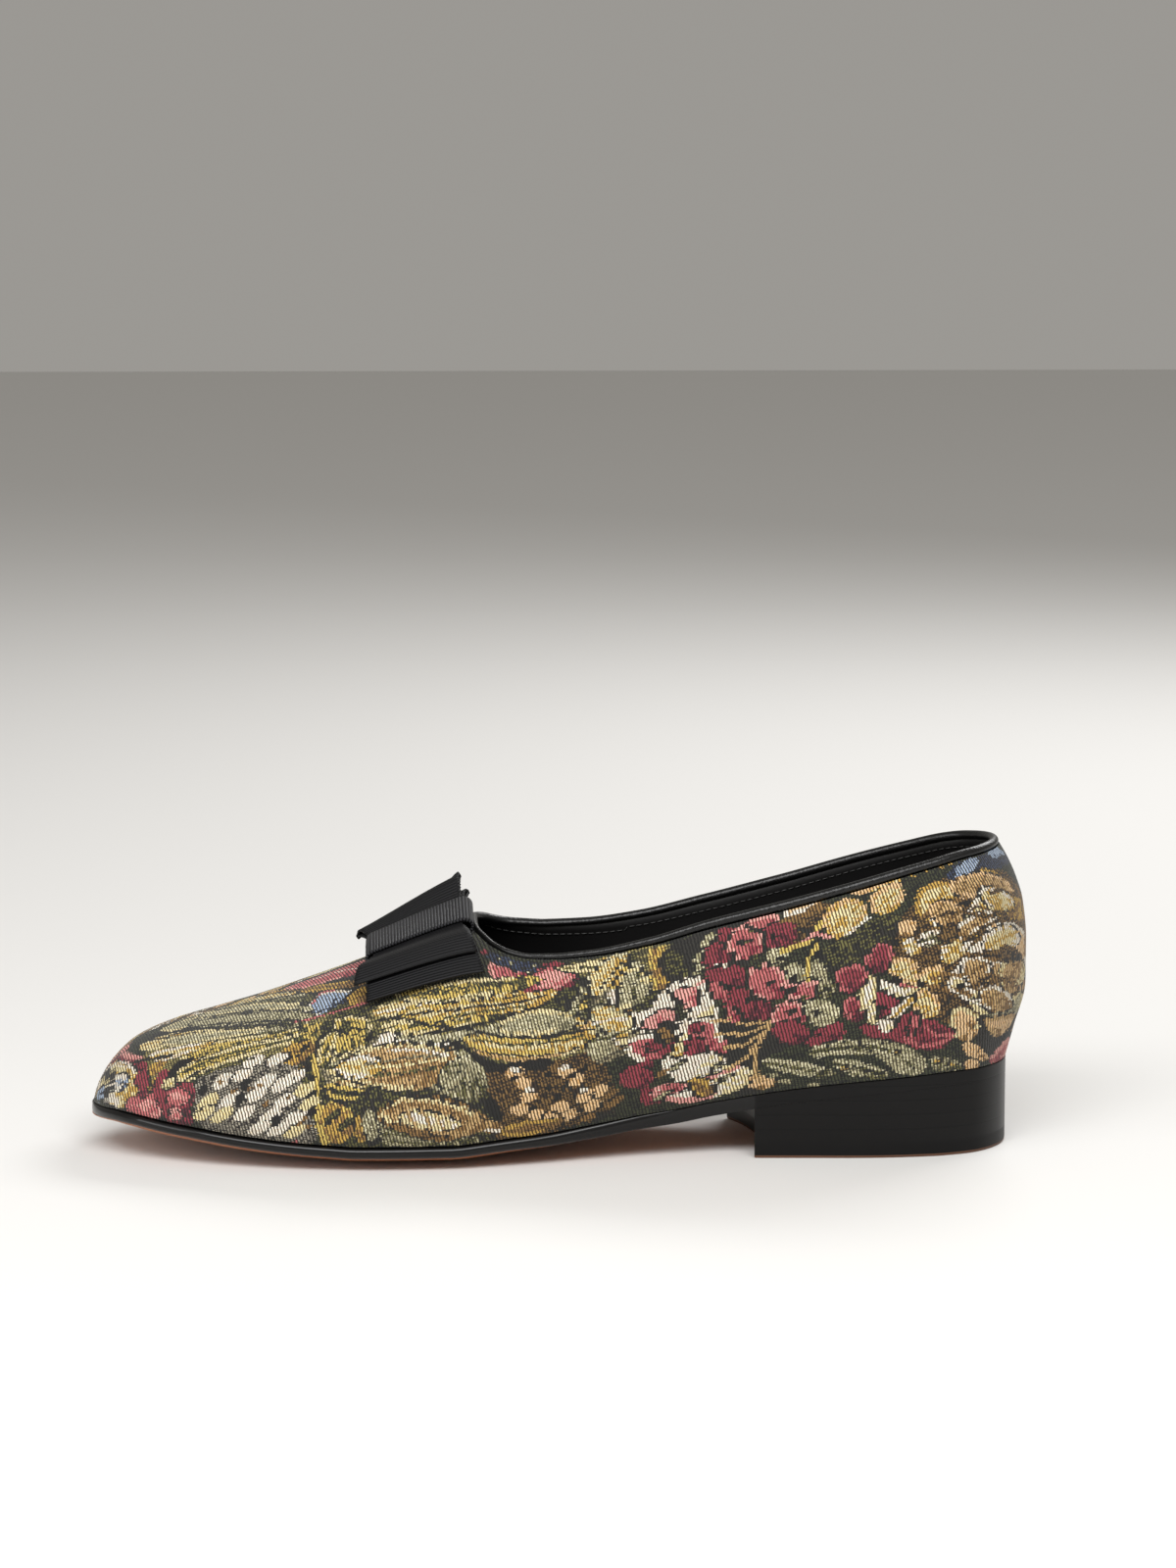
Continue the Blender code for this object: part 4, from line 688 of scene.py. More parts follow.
    ("patch", "straw", "cream", "225.5,-82 228.5,-76.5 233.5,-72 232,-75 229,-79 227.5,-83"),
    ("patch", "cream", "", "223.5,-82 228,-81.5 226.5,-85 224,-85"),
    ("patch", "straw", "peach", "225,-67 228.5,-63 233.5,-63.5 232.5,-67.5 236,-64.5 240,-62 239.5,-67 "
     "235.5,-70 232,-69.5 228,-69.5"),
    ("patch", "straw", "peach", "232,-73 235.5,-70 239,-72.5 239.5,-76.5 236,-79 233.5,-77.5"),
    ("patch", "peach", "", "227.5,-54.5 230.5,-52 234,-52 232,-55.5 229.5,-57"),
    ("patch", "straw", "cream", "229.5,-58 233,-56.5 235,-59.5 232,-61.5 229.5,-60"),
    ("patch", "sage", "cream", "233.5,-56.5 236.5,-53.5 241,-52.5 239.5,-56 236,-58"),
    # The great straw-coloured rose round the heel
    ("patch", "straw", "gold", "248,-35.5 253,-31.5 257.5,-31 260.5,-32.5 261,-36 256.5,-37 252.5,-38 "
     "248,-40"),
    ("patch", "straw", "gold", "233.5,-46.5 236,-41.5 240,-39 245.5,-38.5 247.5,-41 244,-44.5 239,-46 "
     "235.5,-49.5 234,-49"),
    ("patch", "straw", "cream", "236.5,-49.5 240.5,-46.5 245,-45 248.5,-46.5 245.5,-50.5 241.5,-52 "
     "238.5,-52"),
    ("patch", "sage", "", "245,-47.5 248,-46 248.5,-48.5 245.5,-50"),
    ("patch", "straw", "cream", "248,-46 251.5,-40 255.5,-37.5 259.5,-38.5 257.5,-43.5 253.5,-46.5 "
     "250,-47.5"),
    ("patch", "gold", "", "259,-39 263.5,-36 264.5,-39.5 261,-44.5 258,-43.5"),
    ("patch", "straw", "cream", "240,-58 242,-53.5 246,-49.5 251,-47 251.5,-50 248,-53.5 245.5,-58 "
     "242.5,-61.5 240,-61.5"),
    ("patch", "peach", "cream", "251.5,-47.5 257,-46.5 261,-45.5 264,-46.5 264,-50.5 264,-63.5 262.5,-64 "
     "261.5,-57.5 259.5,-52.5 256.5,-50 253,-50.5"),
    ("line", "dark", 1.0, "252,-51 257.5,-51 261.5,-55 264,-58.5"),
    ("patch", "cream", "", "246,-58.5 250,-54.5 254,-52 257,-52.5 252.5,-56.5 249,-59"),
    ("patch", "cream", "", "241.5,-67 244,-62 249.5,-58.5 250.5,-60.5 247,-65 243.5,-68.5"),
    ("patch", "tan", "cream", "248.5,-63.5 251.5,-60 256,-57.5 258.5,-60 257.5,-65 253,-66 250,-65.5"),
    ("patch", "peach", "", "259,-56.5 262.5,-57.5 264,-61.5 260.5,-65 258.5,-61.5"),
    ("line", "black", 1.0, "244.5,-68 248,-65.5 254,-65.5"),
    ("patch", "celadon", "straw", "246.5,-69 250,-70 253.5,-71.5 259,-68.5 262.5,-63.5 264,-65 263.5,-70 "
     "255.5,-74.5 250.5,-74.5 247.5,-72"),
    ("patch", "cream", "", "246,-67 248,-67 249.5,-70.5 247.5,-69.5"),
    ("patch", "peach", "straw", "242.5,-76.5 245,-73.5 248.5,-75 251,-76 251.5,-80 249.5,-83.5 245,-82.5"),
    ("patch", "peach", "tan", "252.5,-76 257,-74 263.5,-70 263.5,-75 258.5,-80 254.5,-79"),
    ("line", "dark", 1.4, "251,-76.5 255,-80.5 258.5,-81"),
    ("patch", "peach", "", "248,-83 253.5,-85 257.5,-87.5 253,-88 248.5,-86.5"),
    ("patch", "peach", "", "249.5,-89.5 254,-88.5 254,-91 250,-92"),
    ("patch", "rose", "pink", "257,-88.5 259.5,-83 262,-79 264,-77 264,-81 262.5,-85"),
    ("line", "black", 1.3, "258,-82 262,-76 264,-69"),
    ("dab", "black", (1.4, 1.1), "241,-52.5 234.5,-69 228,-69.5 247,-43.5"),
    ("line", "bronze", 1.0, "235,-50 241,-44.5 247.5,-42.5"),
    ("line", "bronze", 1.2, "236,-69 243,-69 247.5,-70"),
    # Blue petals at the back of the collar
    ("patch", "navy", "", "243.5,-36.5 248.5,-31.5 255,-29 264,-20 264,-24.5 258.5,-30 254.5,-31 "
     "249.5,-34 246,-38.5"),
    ("patch", "blue", "", "246,-35.5 250,-31 255.5,-28 251.5,-32.5 249,-36.5 246.5,-39"),
    ("patch", "blue", "", "258,-24.5 262.5,-20.5 264,-21.5 260,-26"),
    ("dab", "gold", (1.1, 0.6), "234,-38 238,-35.5 242.5,-33.5 236.5,-34.5 244,-31.5 240.5,-32.5 "
     "245.5,-32"),
    # Low leaves above the sole at the waist
    ("patch", "sage", "celadon", "204.5,-92.5 208.5,-89.5 214.5,-89 222.5,-89.5 229,-90.5 220,-93.5 "
     "211.5,-92.5 207.5,-93.5"),
    ("patch", "sage", "celadon", "191,-93.5 198,-94 209,-97 213.5,-99.5 203.5,-99 195,-96.5"),
    ("patch", "celadon", "sage", "218,-88.5 225,-88 233.5,-88.5 239,-91.5 236.5,-95.5 231.5,-97 226,-93.5 "
     "220.5,-91"),
    ("patch", "sage", "celadon", "211,-94 220,-96 227.5,-97 226.5,-99.5 219,-100 213,-97"),
    ("patch", "sage", "", "239,-89.5 245,-89.5 250,-91 245,-93.5 240.5,-93"),
    ("line", "olive", 0.6, "207.5,-91.5 217,-91 227,-90.5"),
    ("line", "olive", 0.6, "220.5,-90 231,-91.5 235.5,-94.5"),
    ("dab", "sage", (1.9, 0.7), "198,-100.5 206.5,-102 195,-98.5"),
    ("dab", "gold", (0.8, 0.6), "225,-89 229.5,-90 211.5,-89.5 210,-90.5 215,-97.5 221.5,-98 245.5,-91 "
     "241.5,-90.5"),
    # Clearer leaves at the toe and the ball, laid over the first ones
    ("patch", "sage", "celadon", "23.5,-0.5 29.5,-0.5 38,-0.5 47.5,-5.5 56,-14.5 60,-22 58.5,-26 48,-21 "
     "37,-16.5 27,-11"),
    ("line", "dark", 0.9, "22.5,-12.5 31.5,-15 42,-20 58.5,-28"),
    ("patch", "celadon", "straw", "20.5,-14 27.5,-15.5 37.5,-19.5 48,-24.5 58.5,-29.5 49.5,-27.5 38,-24 "
     "28,-21.5 21.5,-18.5"),
    ("line", "olive", 0.8, "21.5,-20 30.5,-22.5 42,-25.5 56,-30"),
    ("patch", "straw", "cream", "16.5,-18 22.5,-20 30.5,-23 36.5,-24 32,-25.5 25,-25 19.5,-23.5"),
    ("line", "dark", 1.1, "12.5,-17.5 19.5,-22 24,-23.5"),
    ("patch", "yellow", "straw", "25,-30 34,-29.5 44.5,-30 56,-33 69.5,-35 64.5,-37 53,-35 42.5,-34.5 "
     "32.5,-35 26,-35"),
    ("line", "olive", 0.8, "27,-31.5 36.5,-31.5 48,-32.5 59,-35"),
    ("line", "straw", 0.8, "28,-33.5 38,-34 50,-35"),
    ("line", "olive", 0.7, "31,-35 40,-35.5 48,-36.5"),
    ("line", "dark", 0.8, "25,-35.5 29.5,-34 34,-33.5"),
    ("patch", "tan", "straw", "74,-47 81,-47 88,-48.5 100,-54 107.5,-60 103.5,-63 94,-64.5 82.5,-59.5 "
     "73.5,-53.5"),
    ("patch", "straw", "cream", "70,-48.5 76,-48 82.5,-51 84,-55 79,-55.5 71.5,-52"),
    ("line", "bronze", 0.8, "83,-58 92,-59.5 100,-59.5 106,-59.5"),
    ("line", "cream", 0.8, "85.5,-50 93.5,-52.5 102,-57"),
    ("patch", "sage", "celadon", "99.5,-61 103.5,-58.5 108.5,-59 112.5,-63.5 113.5,-69 109.5,-72 "
     "103.5,-69 100,-65"),
    ("line", "drab", 0.8, "102,-68 106,-64.5 109.5,-62"),
    ("patch", "tan", "straw", "82.5,-66.5 87.5,-65 93.5,-66 102,-70 109.5,-75 114.5,-80 106,-81.5 "
     "98.5,-80 89,-73 84,-69"),
    ("patch", "cream", "straw", "87.5,-69 93.5,-69.5 100,-73 107,-77.5 102.5,-78 96,-76 90,-72"),
    ("line", "bronze", 0.8, "85.5,-66.5 92,-67.5 99.5,-71 108,-76.5"),
    ("patch", "straw", "celadon", "141,-45 143.5,-40 148.5,-38.5 153.5,-41.5 151,-44.5 148.5,-46.5 "
     "144.5,-48.5"),
    ("patch", "celadon", "straw", "150,-52 151.5,-46 155.5,-46 158.5,-51 159.5,-56 156,-57 152,-56"),
    ("line", "dark", 0.7, "145,-47 148.5,-44.5 151.5,-42.5"),
    ("line", "olive", 0.7, "154.5,-55.5 155.5,-51.5 156.5,-48.5"),
    ("patch", "straw", "celadon", "142,-51 146.5,-51 153,-57 155,-62.5 152,-64 146.5,-59.5 143,-55"),
    # Folds of the great rose
    ("patch", "tan", "peach", "243,-39.5 249,-35 256.5,-32 261,-32.5 261.5,-36 257,-40 252,-40 246,-42.5"),
    ("patch", "straw", "cream", "251,-39 256,-36.5 260,-37 261,-40 257,-43.5 252.5,-43"),
    ("line", "brown", 0.9, "243,-43.5 247,-45 251,-44 255.5,-44.5 260.5,-41.5"),
    ("patch", "tan", "peach", "236.5,-46.5 241,-43.5 245,-44.5 246.5,-48 243,-52 239,-51"),
    ("patch", "tan", "cream", "243,-52.5 246.5,-48.5 251.5,-45 255.5,-45 253,-49 248.5,-52 245,-55.5"),
    ("patch", "straw", "cream", "250,-54.5 254,-49.5 259.5,-46 262,-48 259.5,-53 254.5,-57"),
    ("line", "brown", 0.9, "247.5,-54 251.5,-49.5 256,-46.5 261,-44"),
    ("line", "bronze", 0.9, "246.5,-58 250.5,-59 255.5,-58 260,-54"),
    ("patch", "tan", "cream", "244,-61.5 247.5,-58.5 251.5,-58.5 253.5,-62 250,-66 246,-66"),
    ("patch", "tan", "straw", "255.5,-59 260,-54.5 263.5,-54.5 263,-60 259,-66.5 255.5,-66"),
    ("patch", "tan", "cream", "249,-68 253.5,-65.5 258.5,-66.5 260.5,-69.5 255.5,-73.5 250.5,-72.5"),
    ("line", "brown", 0.8, "246,-67.5 250,-68 255,-64 259.5,-61"),
    # Leaves, folds and veins that finish the side
    ("line", "tan", 0.6, "91,-69.5 93.5,-75"),
    ("line", "tan", 0.6, "95,-70.5 97.5,-76.5"),
    ("line", "tan", 0.6, "98.5,-72.5 101,-77.5"),
    ("patch", "bronze", "", "82.5,-69 89,-74 97.5,-80 106,-82 97.5,-78.5 90,-73"),
    ("patch", "yellow", "straw", "85.5,-29 97.5,-33 111.5,-36 125.5,-37 130,-39 120,-41 106,-41.5 92,-37"),
    ("line", "olive", 0.7, "87.5,-33 100,-36.5 114.5,-38.5 125.5,-38"),
    ("patch", "straw", "yellow", "87.5,-37 100,-41 114.5,-43.5 127.5,-42.5 134,-42.5 130,-46 117,-47.5 "
     "100,-46 91,-42.5"),
    ("line", "dark", 0.7, "89,-40 103.5,-44 117,-45 130,-44"),
    ("line", "olive", 0.7, "101,-46 114.5,-46.5 125,-46"),
    ("patch", "celadon", "straw", "116,-51 122.5,-48 130,-48 137,-51 139,-54.5 132.5,-55 124,-54.5 "
     "117.5,-53.5"),
    ("patch", "straw", "yellow", "106,-52 116,-55 127.5,-56 139,-56.5 145,-58 140.5,-60.5 129.5,-60.5 "
     "117.5,-59 109,-56.5"),
    ("line", "olive", 0.7, "109.5,-54.5 119.5,-57 130.5,-57.5 140.5,-58"),
    ("line", "dark", 0.8, "95,-45.5 106,-50.5 116,-54 129.5,-56 142,-56.5"),
    ("patch", "sage", "celadon", "32.5,0 41.5,1 51,-1 60.5,-12.5 66,-20.5 57.5,-17 44,-6"),
    ("line", "olive", 0.7, "34,-0.5 44,-4.5 58.5,-15.5"),
    ("patch", "celadon", "straw", "18.5,-4.5 25,-2.5 32,-4 37,-7 31.5,-10.5 24,-11"),
    ("patch", "celadon", "straw", "29.5,-1 38.5,-3.5 47.5,-7.5 58.5,-17.5 66,-27 58.5,-21 47.5,-12.5 "
     "38,-7.5 31.5,-7.5"),
    ("patch", "celadon", "sage", "27,-7 37,-10.5 47.5,-15.5 58.5,-22.5 66,-29 58.5,-26 48,-20 37,-15 "
     "29,-12"),
    ("line", "dark", 0.8, "28.5,-5.5 38,-8.5 47.5,-14 60,-22.5"),
    ("line", "dark", 0.8, "26.5,-11 36.5,-15 48,-21 60.5,-28"),
    ("patch", "straw", "celadon", "34,1.5 43,1 52.5,-2 60,-12 52.5,-7.5 43,-1.5 36,-1"),
    ("patch", "yellow", "straw", "65.5,-46 66,-40.5 68.5,-36.5 71.5,-38 70,-42.5 68.5,-46.5 67,-48.5"),
    ("line", "dark", 0.7, "60,-41.5 63,-38.5"),
    ("line", "dark", 0.7, "62,-44 65.5,-41.5"),
    ("patch", "brown", "", "255,-55 260,-52 263,-54 258.5,-57 254.5,-59"),
    ("patch", "brown", "", "239.5,-53 243,-49.5 245,-51.5 243,-55.5 239.5,-56.5"),
    ("line", "brown", 1.2, "240.5,-48 245.5,-46.5 249.5,-46.5 254,-46"),
    ("line", "brown", 1.2, "248,-58.5 253,-56.5 258.5,-55"),
    ("line", "brown", 1.0, "250,-65 254,-63 258.5,-63"),
    ("line", "bronze", 1.1, "263,-32.5 264.5,-37.5 264,-45 263.5,-52.5"),
    ("line", "brown", 0.9, "254.5,-39 259,-36 261,-37"),
    ("line", "drab", 0.7, "79,-51.5 89,-53.5 100,-56.5"),
    ("line", "straw", 0.7, "80,-53 91,-56 102,-58"),
    ("line", "olive", 0.7, "81,-55.5 92,-58.5 102.5,-60"),
    ("line", "celadon", 0.7, "101.5,-66.5 106,-63.5 110.5,-61"),
    ("line", "olive", 0.7, "141,-59.5 147.5,-61.5 154,-63"),
    ("line", "cream", 0.8, "143.5,-55.5 148.5,-56.5 153,-59.5"),
    ("line", "pink", 0.9, "203,-60 206,-58 210,-59"),
    ("line", "pink", 0.9, "170,-65.5 172,-64 174.5,-64"),
    ("line", "cream", 0.8, "241.5,-68.5 246,-71 250,-72"),
    ("line", "bronze", 0.9, "237.5,-67 241,-64.5 245,-65"),
]
# The inner side's own leaves and petals at the throat
INNER_MOTIFS = [
    ("patch", "straw", "celadon", "58,2 76,4 96,8 114,17 100,20 80,14 64,9"),
    ("patch", "yellow", "straw", "66,13 88,19 104,29 118,42 100,37 80,27"),
    ("patch", "sage", "celadon", "84,0 100,2 116,9 104,11 90,6"),
    ("patch", "rose", "pink", "94,31 106,26 115,33 112,43 100,43 92,37"),
    ("patch", "burgundy", "", "84,36 94,30 98,41 92,48 82,44"),
    ("patch", "olive", "dark", "46,6 62,10 74,20 66,22 52,14"),
    ("patch", "peach", "cream", "60,24 70,26 76,34 68,40 58,33"),
    ("line", "dark", 0.9, "60,5 80,10 104,18"),
    ("line", "bronze", 1.0, "50,2 70,18 90,34 108,48"),
]

# Sizes of the weave and of the way motifs are drawn, in millimetres of cloth
RIB_PITCH, FLOAT_LENGTH = 0.95, 0.38
RIM_WIDTH, GROWTH = 0.9, 0.4
STREAK_SPACING, STREAK_WIDTH, NARROW_LEAF = 1.9, 0.42, 14
VEIN_SPACING, VEIN_WIDTH, MIDRIB_WIDTH = 3.0, 0.6, 0.3
# Where a motif's shade begins, how fast it thickens, where its light rim ends, how often a vein shows
SHADE_START, SHADE_RATE, RIM_END, VEIN_SHARE = 0.45, 1.3, 0.8, 0.85
SHADE_SLANT = np.array((0.55, -0.83))
# How far floats stray from a motif's outline in mm, and how often one is outlined, odd or shows its back
STRAY_DISTANCE, OUTLINED, ODD, SHOWS_BACK = 0.16, 0.72, 0.22, 0.12
DARKEST, PALEST = 0.84, 1.12
# The inner side takes the outer side's motifs from 46 mm on, turned round at 268 mm, and those from
# 226 mm on once more as they are, so that both halves meet at the back
TURN_LENGTH, TURNED_FROM, BACK_FROM = 268, 46, 226


def read_places(text):
    return np.array([[float(v) for v in pair.split(",")] for pair in text.split()])


def rounded(ring):
    """A closed outline with its corners cut twice."""
    for _ in range(2):
        following = np.roll(ring, -1, axis=0)
        ring = np.stack((ring * 0.75 + following * 0.25, ring * 0.25 + following * 0.75), 1).reshape(-1, 2)
    return ring


def distance_to(path, places, closed):
    """Distance from each place to the nearest piece of a path."""
    starts, ends = (path, np.roll(path, -1, axis=0)) if closed else (path[:-1], path[1:])
    nearest = np.full(len(places), 1e9)
    for a, b in zip(starts, ends):
        along_edge = np.clip(((places - a) @ (b - a)) / max(((b - a) ** 2).sum(), 1e-9), 0, 1)
        nearest = np.minimum(nearest, np.linalg.norm(places - a - along_edge[:, None] * (b - a), axis=1))
    return nearest


def inside(ring, places):
    """Whether each place lies inside a closed outline."""
    result = np.zeros(len(places), bool)
    x, y = places.T
    for (ax, ay), (bx, by) in zip(ring, np.roll(ring, -1, axis=0)):
        if ay != by:
            result ^= ((ay > y) != (by > y)) & (x < (bx - ax) * (y - ay) / (by - ay) + ax)
    return result


def leaf_veins(ring, places):
    """A midrib with side veins, or long streaks where the leaf is narrow."""
    middle = ring.mean(0)
    spread, axes = np.linalg.eigh(np.cov((ring - middle).T))
    length, width = (places - middle) @ axes[:, 1], np.abs((places - middle) @ axes[:, 0])
    if spread[1] > NARROW_LEAF * spread[0]:
        return width % STREAK_SPACING < STREAK_WIDTH
    side_veins = ((length + width * 1.1) % VEIN_SPACING < VEIN_WIDTH) & (width > MIDRIB_WIDTH)
    return (width < MIDRIB_WIDTH) | side_veins


def weave(yarns, marks, places, motifs, wobble, patience, from_toe):
    """Lays each motif's yarns on the floats whose places it covers, later motifs on top."""
    for number, (kind, body, detail, text) in enumerate(motifs, 1):
        path = read_places(text)
        if path[:, 0].mean() < from_toe:
            continue
        reach = 2.0 if kind == "patch" else 4.0
        near = np.flatnonzero(((places > path.min(0) - reach) & (places < path.max(0) + reach)).all(1))
        if not len(near):
            continue
        here = places[near] + wobble[near]
        if kind == "patch":
            ring = rounded(path)
            apart = distance_to(ring, here, True)
            covered = inside(ring, here) | (apart < GROWTH)
            share = here @ SHADE_SLANT
            if covered.any():
                share = (share - share[covered].min()) / max(np.ptp(share[covered]), 1e-6)
            yarns[near[covered]] = yarn_names.index(body)
            marks[near[covered]] = 0 if body in GROUNDS else number
            if body in SHADES:
                shaded = covered & (patience[near] < (share - SHADE_START) * SHADE_RATE)
                yarns[near[shaded]] = yarn_names.index(SHADES[body])
            if detail:
                rim = covered & (apart < RIM_WIDTH) & (share < RIM_END)
                yarns[near[rim]] = yarn_names.index(detail)
            if body in LEAF_YARNS:
                veins = covered & leaf_veins(ring, here) & (patience[near] < VEIN_SHARE)
                yarns[near[veins]] = yarn_names.index(SHADES[body])
        elif kind == "line":
            covered = distance_to(path, here, False) < detail / 2
            yarns[near[covered]] = yarn_names.index(body)
            marks[near[covered]] = 0
        else:
            for centre in path:
                covered = (((here - centre) / detail) ** 2).sum(1) < 1
                yarns[near[covered]] = yarn_names.index(body)
                # Each pale dab gets a number of its own, so that a dark float parts it from the next
                own_mark = 1000 + int(abs(centre).sum() * 10)
                marks[near[covered]] = 0 if body in ("black", "bronze") else own_mark


chance = np.random.default_rng(7)
outer_width = side_grid(-1, columns, 4)[:, 1, 1]
# The ribs spread a little round the toe's point and keep their pitch round the heel
turn_share = np.where(columns[1:] < 0.5, 0.5, 1.0)
rib_steps = np.hypot(np.diff(columns) * SOLE_LENGTH, turn_share * np.diff(outer_width)) * 1000
ribs = np.concatenate(([0.0], np.cumsum(rib_steps))) / RIB_PITCH
column_lengths = columns * SOLE_LENGTH * 1000

# The lower edge is turned under towards the sole, the upper one in under the binding
TUCK_IN, TUCK_DOWN, UNDER_BINDING = 0.0009, 0.0004, 0.0006
grids, uvs, places_of, girths = [], [], {}, {}
for side in (-1, 1):
    grid = side_grid(side, columns, SIDE_ROWS)
    shape = {key: value[:, None] for key, value in section(side, columns).items()}
    whole_turn = shape["start"] + (math.pi / 2 - shape["start"]) * np.linspace(0, 1, 121)
    girths[side] = lengths_along(form_points(side, shape, whole_turn), 1)[:, -1]
    climbed = lengths_along(grid, 1)
    normals = grid_normals(side, grid)
    tucked = grid[:, :1] - normals[:, :1] * TUCK_IN - np.array((0, 0, TUCK_DOWN))
    under_binding = grid[:, -1:] - normals[:, -1:] * UNDER_BINDING
    open_edge = (columns > THROAT)[:, None, None]
    grid = np.concatenate((tucked, grid, np.where(open_edge, under_binding, grid[:, -1:])), 1)
    climbed = np.concatenate((climbed[:, :1] - TUCK_IN * 1000, climbed, climbed[:, -1:]), 1)
    grids.append(grid - ORIGIN)
    uvs.append(np.stack((np.broadcast_to(ribs[:, None], climbed.shape), climbed / FLOAT_LENGTH), -1))
    places_of[side] = np.stack((np.broadcast_to(column_lengths[:, None], climbed.shape), climbed), -1)

# Jacquard tapestry: cotton ribs about 1 mm apart under floats of dyed yarn. It looks matte with a dry
# sheen. Shade is painted into its colour in the gaps between the ribs and towards each float's ends, and
# a bump rounds each float. The floats are drawn longer than the real threads are thick, because single
# threads are too fine to show.
tapestry = finish_of("jacquard_tapestry", "#7c6a4a", 0.78, {"Sheen Weight": 0.12, "Sheen Roughness": 0.45})
surface = add_node(tapestry, "ShaderNodeUVMap", uv_map="surface")
parts = add_node(tapestry, "ShaderNodeSeparateXYZ", [("Vector", surface, "UV")])
jitter = add_node(tapestry, "ShaderNodeTexNoise", [("Vector", surface, "UV")], Scale=0.35, Detail=2.0)
wander = add_node(tapestry, "ShaderNodeMath", [(0, jitter, 0)], operation="MULTIPLY", in_1=0.7)
across = add_node(tapestry, "ShaderNodeMath", [(0, parts, "X"), (1, wander, 0)], operation="ADD")
leaning = add_node(tapestry, "ShaderNodeMath", [(0, parts, "Y"), (2, across, 0)],
                   operation="MULTIPLY_ADD", in_1=0.10)
rib = add_node(tapestry, "ShaderNodeMath", [(0, leaning, 0)], operation="PINGPONG", in_1=0.5)
ridge = add_node(tapestry, "ShaderNodeMapRange", [("Value", rib, 0)], interpolation_type="SMOOTHSTEP",
                 **{"From Min": 0.09, "From Max": 0.34})
float_end = add_node(tapestry, "ShaderNodeMath", [(0, parts, "Y")], operation="PINGPONG", in_1=0.5)
float_round = add_node(tapestry, "ShaderNodeMapRange", [("Value", float_end, 0)],
                       **{"From Max": 0.4, "To Min": 0.72})
# The crown shapes the bump and is also the mask of the painted shade in the rib gaps and at float ends
crown = add_node(tapestry, "ShaderNodeMath", [(0, ridge, 0), (1, float_round, 0)], operation="MULTIPLY")
yarn = add_node(tapestry, "ShaderNodeVertexColor", layer_name="yarn")
# Painted shade: the yarn's colour darkened, used where the crown is low
shaded_gap = add_node(tapestry, "ShaderNodeMix", [(6, yarn, "Color")], data_type="RGBA", blend_type="MULTIPLY",
               in_0=1.0, in_7=linear("#564c40"))
colour = add_node(tapestry, "ShaderNodeMix", [(0, crown, 0), (6, shaded_gap, 2), (7, yarn, "Color")],
                  data_type="RGBA")
bump = add_node(tapestry, "ShaderNodeBump", [("Height", crown, 0)], Strength=0.8, Distance=0.0003)
feed(tapestry, "Base Color", colour, 2)
feed(tapestry, "Normal", bump, "Normal")

upper, cells = grid_piece("tapestry_upper", grids, [tapestry], (False, True), uvs)
cell = np.array(cells)
rib_number = np.floor(ribs[cell[:, 1]]).astype(int)
yarns = np.zeros(len(cell), int)
wobble = chance.normal(0, STRAY_DISTANCE, (len(cell), 2))
# One number for every four floats of a rib, so that shading runs in short streaks along the ribs
streak = rib_number * 977 + (cell[:, 2] + rib_number * 2) // 4 * 131
patience = chance.random(4096)[(streak + cell[:, 0] * 55) % 4096]


def to_ridge(side, from_toe):
    """Millimetres round the form from the sole to the ridge."""
    return np.interp(from_toe, column_lengths, girths[side])


for g, side in enumerate((-1, 1)):
    mine = cell[:, 0] == g
    i, j = cell[mine, 1], cell[mine, 2]
    corners = places_of[side]
    middle = (corners[i, j] + corners[i + 1, j] + corners[i + 1, j + 1] + corners[i, j + 1]) / 4
    from_toe, climbed = middle.T
    # The bare ground drifts between two dark yarns
    drift = np.sin(from_toe / 9) + np.sin(climbed / 6 + from_toe / 15)
    own = np.where(drift > 0.9, yarn_names.index("dark"), yarn_names.index("green"))
    marks = np.zeros(len(own), int)
    turned = TURN_LENGTH - from_toe
    straight_cloth = (MOTIFS, from_toe, climbed - to_ridge(-1, from_toe))
    turned_cloth = (MOTIFS, turned, climbed - to_ridge(-1, turned))
    inner_cloth = (INNER_MOTIFS, from_toe, to_ridge(1, from_toe) - climbed)
    layers = [(*straight_cloth, -math.inf)]
    if side > 0:
        layers = [(*turned_cloth, TURNED_FROM), (*straight_cloth, BACK_FROM), (*inner_cloth, -math.inf)]
    for motifs, lengthwise, roundwise, begin in layers:
        places = np.stack((lengthwise, roundwise), 1)
        weave(own, marks, places, motifs, wobble[mine], patience[mine], begin)
    # A dark float where one motif meets the next, above it or beside it
    chart = np.zeros((len(columns), SIDE_ROWS + 3), int)
    chart[i, j] = marks
    beside, below = np.roll(chart, 1, 0)[i, j], np.roll(chart, -1, 1)[i, j]
    meets = (marks > 0) & (((below != marks) & (below > 0)) | ((beside != marks) & (beside > 0)))
    own[meets & (patience[mine] < OUTLINED)] = yarn_names.index("dark")
    yarns[mine] = own
tops, unders = (np.array([linear(YARNS[name][k])[:3] for name in yarn_names]) for k in (0, 1))
# Mixed yarns alternate like a chequer with odd floats; the others show their under yarn now and then
mixed = np.array([name in MIXED for name in yarn_names])[yarns]
odd = chance.random(len(cell)) < ODD
now_and_then = chance.random(len(cell)) < SHOWS_BACK
shows_under = np.where(mixed, (rib_number + cell[:, 2]) % 2 != odd, now_and_then)
colours = np.where(shows_under[:, None], unders[yarns], tops[yarns])
colours = colours * chance.uniform(DARKEST, PALEST, (len(cell), 1))
colours = np.concatenate((np.clip(colours, 0, 1), np.ones((len(cell), 1))), 1)
layer = upper.data.color_attributes.new("yarn", "BYTE_COLOR", "CORNER")
totals = np.empty(len(upper.data.polygons), int)
upper.data.polygons.foreach_get("loop_total", totals)
layer.data.foreach_set("color", np.repeat(colours, totals, axis=0).astype(np.float32).ravel())
dress(upper, "upper")

# Lining: smooth black leather glued inside the cloth from the toe to the back of the heel.
# Its top edge comes up under the binding, which is folded over both.

